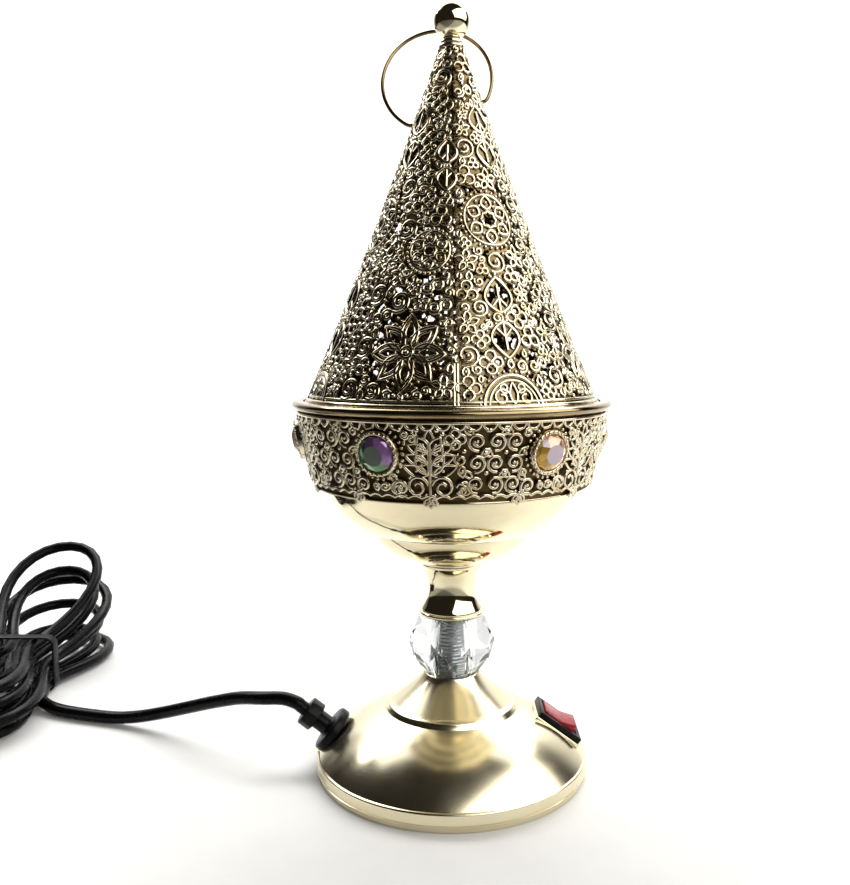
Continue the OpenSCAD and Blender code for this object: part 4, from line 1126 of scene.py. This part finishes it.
# Paints reflections on a stone's facets: one colour on those that lean one way, another on those that lean
# the other way, grey between, and brighter and darker facets in turn as painted glints.
def paint_facet_reflections(gem, mood):
    left, right, grey = mood
    tint = gem.data.color_attributes.new("facet", "FLOAT_COLOR", "CORNER")
    for face in gem.data.polygons:
        lean = face.center.x * 0.7 - face.center.y * 0.7
        tone = grey if abs(lean) < 0.9 * MM else left if lean < 0 else right
        light = 0.7 + 0.6 * (face.index % 3) / 2
        for corner in face.loop_indices:
            tint.data[corner].color = (*[min(1, light * v) for v in tone], 1)


# %% Stones and their beaded settings
stone_rings = [(stone_r, 0.6), (stone_r, 1.7), (4.9, 2.6), (3.1, 3.8)]
setting_outline = [(5.62, 0), (6.9, 0), (6.9, 1.5), (6.7, 1.9), (6.2, 2.1), (5.75, 2.0), (5.62, 1.8)]
gems, settings = [], []
for k, mood in enumerate(moods):
    place = band_place(stone_turn + 2 * math.pi * k / sixths_n, stone_z)
    gem = cut_gem("stone", stone_rings, 12)
    paint_facet_reflections(gem, mood)
    gems.append(stand_at(gem, place))
    ring = lathe("setting", setting_outline, 40)
    dots = bead_mesh("setting_beads", [(x, y, 0.62) for x, y in circle(6.25, 24)])
    stand_at(dots, Matrix.Translation((0, 0, 1.85 * MM)))
    settings.append(stand_at(join("setting", [ring, dots]), place))
put_on(join("stones_cut", gems), stone_glass, stands_for=("stones",))
settings = smooth(join("settings_beaded", settings), 60)
put_on(settings, filigree_gold, stands_for=("stone_settings",))


# %% [markdown]
# ## Lid
# The lid is a sector of that lace rolled into a cone, with its seam at the front. Large motifs stand where
# the photograph shows them: eight-petalled daisies near the foot, pairs of leaves between them, rosettes
# higher up and half-round fans at the hem, four times round. Small motifs fill the rest of the sheet.

# %% The sector and the lid's large motifs
lid_z, lid_h, foot_rho, tip_rho = 127.592, 114.4, 133.5, 10.7
sector, seam_turn, lid_repeats = math.radians(130.5), math.radians(-88.5), 4


def polar(rho, phi):
    return (rho * math.sin(phi), -rho * math.cos(phi))


def on_sector(z, azimuth):
    """The flat place of a height above the lid's foot and an azimuth in degrees, and the way up there."""
    rho = foot_rho - z / lid_h * (foot_rho - tip_rho)
    phi = ((math.radians(azimuth) - seam_turn) / (2 * math.pi) % 1 - 0.5) * sector
    return polar(rho, phi), phi


lid_lace = new_lace()
taken = []
for k in range(lid_repeats):
    for motif, z, azimuth, size, rooms in (
            (daisy, 16.1, -108.6, 12.0, [(0, 12.4)]), (rosette, 56.2, -63.2, 9.6, [(0, 10.4)]),
            (leaf_pair, 26.4, -66.2, 26.0, [(-7.5, 5.4), (7.5, 5.4)]), (fan, 0.6, -67.2, 9.6, [(0, 11.2)]),
            (rosette, 46.3, -103.5, 7.4, [(0, 8.2)]), (leaf_pair, 83.0, -49.4, 22.0, [(-6, 4.4), (6, 4.4)]),
            (leaf_pair, 73.0, -95.0, 18.0, [(-5, 3.8), (5, 3.8)])):
        at = at_place(*on_sector(z, azimuth + 360 / lid_repeats * k))
        motif(lid_lace, at, size)
        taken += [(*at([(0, y)])[0], r) for y, r in rooms]

# %% Borders and seam of the lid
half_sector = sector / 2
for rho, r in ((foot_rho - 0.6, 0.6), (foot_rho - 2.2, 0.35), (tip_rho + 0.8, 0.6)):
    stroke(lid_lace, [polar(rho, half_sector * t) for t in np.linspace(-1, 1, 161)], r)
seam_edge, seam_points, seam_shows = half_sector - 0.004, 250, 32
for side in (-1, 1):
    seam = [polar(rho, side * seam_edge) for rho in np.linspace(foot_rho, tip_rho, seam_points)]
    stroke(lid_lace, seam[:seam_shows:4], 0.4)
    lid_lace["joins"] += seam

# %% Small motifs of the lid
grid_step, least_room, upper_rho = 0.7, 0.6, 62
spots = grid_of(*[np.arange(-foot_rho, foot_rho, grid_step)] * 2)
rho, phi = np.hypot(spots[:, 0], spots[:, 1]), np.arctan2(spots[:, 0], -spots[:, 1])
from_seam = rho * np.sin(np.clip(half_sector - np.abs(phi), -1, 1)) - 0.1
room = np.minimum(np.minimum(foot_rho - 2.4 - rho, rho - tip_rho - 1.4), from_seam)
spots, room = spots[room > least_room], room[room > least_room]
room = keep_clear(spots, room, taken)
for count, (x, y, r) in enumerate(pack_circles(spots, room, (3.5, 2.7, 2.0, 1.5, 1.1, 0.8))):
    solid = math.hypot(x, y) < upper_rho or count % 3 == 0
    filler(lid_lace, at_place((x, y), math.atan2(x, -y)), 1.18 * r, count, solid)
print("lid lace:", len(lid_lace["strokes"]), "strokes", len(lid_lace["beads"]), "beads")

# %% Rolling the lid's lace into a cone
lid_foot_r, lid_taper, lid_hollow = 48.4, 44.5, 5.2
lid_tilt = math.atan2(lid_taper, lid_h)
lid_relief, lid_sunk = 0.62, 0.4


def round_lid(flat):
    rho, phi = np.hypot(flat[:, 0], flat[:, 1]), np.arctan2(flat[:, 0], -flat[:, 1])
    s = 1 - (rho - tip_rho) / (foot_rho - tip_rho)
    out = lid_relief * flat[:, 2] - lid_sunk
    r = lid_foot_r - lid_taper * s - lid_hollow * s * (1 - s) + out * math.cos(lid_tilt)
    z = lid_z + lid_h * s + out * math.sin(lid_tilt)
    turn = seam_turn + (phi / sector + 0.5) * 2 * math.pi
    return np.stack([r * np.cos(turn), r * np.sin(turn), z], axis=1)


def in_sector(xs, ys):
    rho, phi = np.hypot(xs, ys), np.arctan2(xs, -ys)
    return (rho < foot_rho) & (rho > tip_rho) & (np.abs(phi) < half_sector)


# %% The lid's sheet, almost closed at its top
web_step, web_sunk = 0.55, np.array([0, 0, 0.6])
marks = marks_along(lid_lace, web_step)
web_width = np.where(np.hypot(marks[:, 0], marks[:, 1]) < 58, 1.8, 1.15)
lid_web = web_mesh("lid_sheet", marks, web_width, web_step, in_sector)
roll(lid_web, lambda flat: round_lid(flat - web_sunk))
# The sheet's near-black gold is painted shade in the gaps between the strokes.
put_on(smooth(lid_web), painted_shade_web_gold, "lid", ("lid_cone",))

# %% The lid's strokes and beads, a quarter at a time
quarters, lid_bold = 4, 1.3
for k in range(quarters):
    mine = lambda p: int((math.atan2(p[0], -p[1]) / sector + 0.5) * quarters * 0.999) == k
    strokes = [(p, lid_bold * r, closed) for p, r, closed in lid_lace["strokes"] if mine(p[0])]
    balls = bead_mesh("lid_beads", [b for b in lid_lace["beads"] if mine(b)])
    lace = roll(join("lid_lace_%d" % (k + 1), [wire_mesh("lid_lines", strokes), balls]), round_lid)
    put_on(smooth(lace, 80), filigree_gold, "lid", ())

# %% The hem
hem_in_r, hem_out_r, hem_round, hem_top = 47.1, 48.5, 0.4, ledge_z + 1.6
hem = lathe("lid_hem_rolled", [(hem_in_r, ledge_z), (hem_out_r + 0.1, ledge_z)]
            + arc((hem_out_r, ledge_z + hem_round), hem_round, -90, 0, 4)
            + [(hem_out_r + hem_round, hem_top - hem_round)]
            + arc((hem_out_r, hem_top - hem_round), hem_round, 0, 90, 4) + [(hem_in_r, hem_top)], 160)
put_on(smooth(hem, 38), painted_shade_hoop_gold, "lid", ("lid_hem",))


# %% [markdown]
# ## Finial and bail
# A ball on a small collar closes the tip of the cone, and a wire bail hangs in two holes just below it.
# The ball is turned. The bail is one round wire, so it is drawn as a curve through its own loop and given
# a round bevel, in the plane that leans back from the lid, and its two ends turn in through the cone.

# %% The finial ball
lid_top, ball_z, ball_r = lid_z + lid_h, 249.29, 6.0
neck_steps = ((0, 0), (3.5, 0), (3.6, 0.15), (3.6, 0.7), (3.35, 1.1), (2.9, 1.55))
ball_arc = arc((0, ball_z), ball_r, -62, 90, 40)
finial = lathe("finial_turned", [(r, lid_top + z) for r, z in neck_steps] + ball_arc)
put_on(smooth(finial, 40), polished_gold, "lid", ("finial_ball",))

# %% The wire bail
bail_d, hoop_r, bail_half, bail_out, bail_in = 1.3, 18.0, 11.543, 1.6, 2.0
bail_place = (Matrix.Translation(Vector((-1.26, 0, 220.49)) * MM)
              @ Matrix.Rotation(math.radians(-17.65), 4, "Y") @ Matrix.Rotation(math.radians(-17), 4, "X"))
bend_x = bail_half + bail_out
hoop_rise = math.sqrt(hoop_r ** 2 - bend_x ** 2)
end_turn = math.degrees(math.atan2(hoop_rise, bend_x))
hoop = [(x, 0, z) for x, z in arc((0, hoop_rise), hoop_r, -end_turn, 180 + end_turn, 72)]
end = [(bail_half - bail_in, 0, 0), (bend_x - 0.6, 0, 0), (bend_x - 0.12, 0, 0.12)]
loop = end + hoop[1:-1] + [(-x, y, z) for x, y, z in end[::-1]]
bail = stand_at(as_mesh(wire_curve("bail_wire", [(loop, bail_d / 2, False)], bail_d, 4)), bail_place)
put_on(smooth(bail), painted_shade_hoop_gold, "bail", ("bail",))


# %% [markdown]
# ## Switch
# The rocker switch is a black bezel snapped into its seat on the dome with a red rocker in its well. The
# bezel is a block whose top is inset and pushed down into a well. The rocker is its side outline, filled
# and extruded across, with soft edges, resting tipped to one side as a switched-off rocker does.

# %% The bezel and the body under it
bezel_h = 2
bezel = block("switch_bezel", (17, 14.5, bezel_h), 0)
choose(bezel, "FACE", lambda face: face.normal.z > 0.9)
bpy.ops.mesh.inset(thickness=0.9 * MM)
bpy.ops.transform.translate(value=(0, 0, 0.25 * MM))
bpy.ops.mesh.inset(thickness=0.8 * MM)
bpy.ops.mesh.extrude_region_move(TRANSFORM_OT_translate={"value": (0, 0, -8.2 * MM)})
bpy.ops.object.mode_set(mode="OBJECT")
for vertex in bezel.data.vertices:
    vertex.co.z = min(vertex.co.z, bezel_h * MM)
soften(bezel, 0.35, 3)
body = soften(block("switch_body", (14.8, 12.3, 8.4), -8.5), 0.4)
cut(body, block("switch_well", (13.6, 10.1, 8), -7))
housing = stand_at(join("switch_moulded", [bezel, body]), switch_place)
put_on(housing, black_plastic, stands_for=("switch_housing",))

# %% The red rocker
rocker_half, rocker_w, rocker_rest, pivot_depth = 6.0, 9.5, math.radians(-9), 1.0
dip = [(x, 2.6 + (abs(x) / rocker_half) ** 1.3) for x in np.linspace(-rocker_half, rocker_half, 9)]
rocker_side = [(-rocker_half, -0.5)] + dip + [(rocker_half, -0.5), (2.4, -4), (-2.4, -4)]
rocker = one_point("rocker_cap", (-rocker_half, -rocker_w / 2, -0.5))
draw_along(rocker_side)
bpy.ops.mesh.edge_face_add()
bpy.ops.mesh.extrude_region_move(TRANSFORM_OT_translate={"value": (0, rocker_w * MM, 0)})
close_mesh()
soften(rocker, 0.45, 3, 40)
to_pivot = Matrix.Translation((0, 0, pivot_depth * MM))
stand_at(rocker, switch_place @ to_pivot.inverted() @ Matrix.Rotation(rocker_rest, 4, "Y") @ to_pivot)
put_on(rocker, red_plastic, "rocker", ("switch_rocker",))


# %% [markdown]
# ## What stays as built
# Plates, nuts, washers, screws, wires and the heater hide inside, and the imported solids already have
# their true shape. They only need a finish, so each one's material slot is filled by its own material.

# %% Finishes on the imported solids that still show
finish_of = {
    satin_gold: ("base_plate", "base_lugs", "deck_plate"),
    zinc: ("base_screws", "lower_washer", "lower_nut", "upper_washer", "upper_nut", "heater_screws",
           "finial_stud", "finial_washer", "finial_nut", "heater_cup", "incense_dish"),
    aluminium: ("heater_plate",),
    kiln_ceramic: ("heater_element",),
    terminal_brass: ("switch_terminals",),
    brown_sleeve: ("supply_wire", "live_wire"),
    blue_sleeve: ("neutral_wire",),
}
for finish, names in finish_of.items():
    for name in names:
        for place in nodes[name].material_slots:
            place.material = finish
print("solids shown as built:", sum(len(names) for names in finish_of.values()))


# %% [markdown]
# ## Table and light
# The photograph has a white ground, bright light from the right and a dark room in front on the left, which
# the polished metal mirrors. A pale floor and backdrop with painted shade that darkens them beyond the
# picture's edges, where the dark room is, one large soft light on the right, a weak one above and one on the
# backdrop give the metal the same mirror.

# %% Floor and backdrop
def panel(name, size, place, turn, finish):
    let_go()
    bpy.ops.mesh.primitive_grid_add(x_subdivisions=2, y_subdivisions=2, size=1,
                                    location=place, rotation=turn)
    bpy.context.object.scale = (*size, 1)
    piece = fresh(name)
    piece.data.materials.append(finish)


def paint_shade_along(material, direction, pale, dark, darkest=0.35):
    """Paints shade on a material along a direction: darker from where it is pale to where it is dark."""
    tree = material.node_tree
    along = tree.nodes.new("ShaderNodeVectorMath")
    along.operation = "DOT_PRODUCT"
    along.inputs[1].default_value = direction
    tree.links.new(tree.nodes["Texture Coordinate"].outputs["Object"], along.inputs[0])
    fade = tree.nodes.new("ShaderNodeMapRange")
    fade.interpolation_type = "SMOOTHSTEP"
    fade.inputs["From Min"].default_value = dark
    fade.inputs["From Max"].default_value = pale
    fade.inputs["To Min"].default_value = darkest
    tree.links.new(along.outputs["Value"], fade.inputs["Value"])
    times_colour(material, fade.outputs["Result"])


floor_with_painted_shade = make_finish("floor_with_painted_shade", [(0.66, 0.66, 0.65), (0.69, 0.69, 0.68)], (0.7, 0.9), 60, bump=0)
# Painted shade: the floor darkens in front of the burner and towards the front left, beyond the picture.
paint_shade_along(floor_with_painted_shade, (0, 1, 0), -0.10, -0.20)
paint_shade_along(floor_with_painted_shade, (1, 0.6, 0), -0.18, -0.26)
panel("floor", (3.0, 3.0), (0, 0.5, -0.0002), (0, 0, 0), floor_with_painted_shade)
backdrop_with_painted_shade = make_finish("backdrop_with_painted_shade", [(0.80, 0.80, 0.79), (0.83, 0.83, 0.82)], (0.7, 0.9), 60, bump=0)
# Painted shade: the backdrop darkens far to the left.
paint_shade_along(backdrop_with_painted_shade, (1, 0, 0), -0.95, -1.10)
panel("backdrop", (4.0, 2.5), (0, 1.2, 1.0), (math.pi / 2, 0, 0), backdrop_with_painted_shade)


# %% Lights
def soft_light(name, size, place, aim, power, colour=(1, 1, 1)):
    data = bpy.data.lights.new(name, "AREA")
    data.shape = "RECTANGLE"
    data.size, data.size_y = size
    data.energy = power
    data.color = colour
    lamp = new_piece(name, data)
    lamp.location = place
    lamp.rotation_euler = (Vector(aim) - Vector(place)).to_track_quat("-Z", "Y").to_euler()


soft_light("window_right", (1.9, 1.0), (0.80, -0.50, 0.74), (0, 0, 0.15), 18, (1.0, 0.98, 0.94))
soft_light("ceiling", (2.2, 0.7), (0, 0.47, 1.25), (0, 0.40, 0), 8)
soft_light("on_backdrop", (2.8, 0.6), (-0.2, 0.90, 1.35), (-0.2, 1.2, 0.3), 50)
world = bpy.data.worlds.new("dim_room")
world.use_nodes = True
room_light = world.node_tree.nodes["Background"].inputs
room_light["Color"].default_value = (0.9, 0.8, 0.66, 1)
room_light["Strength"].default_value = 0.018
bpy.context.scene.world = world
bpy.context.scene.view_settings.view_transform = "Standard"
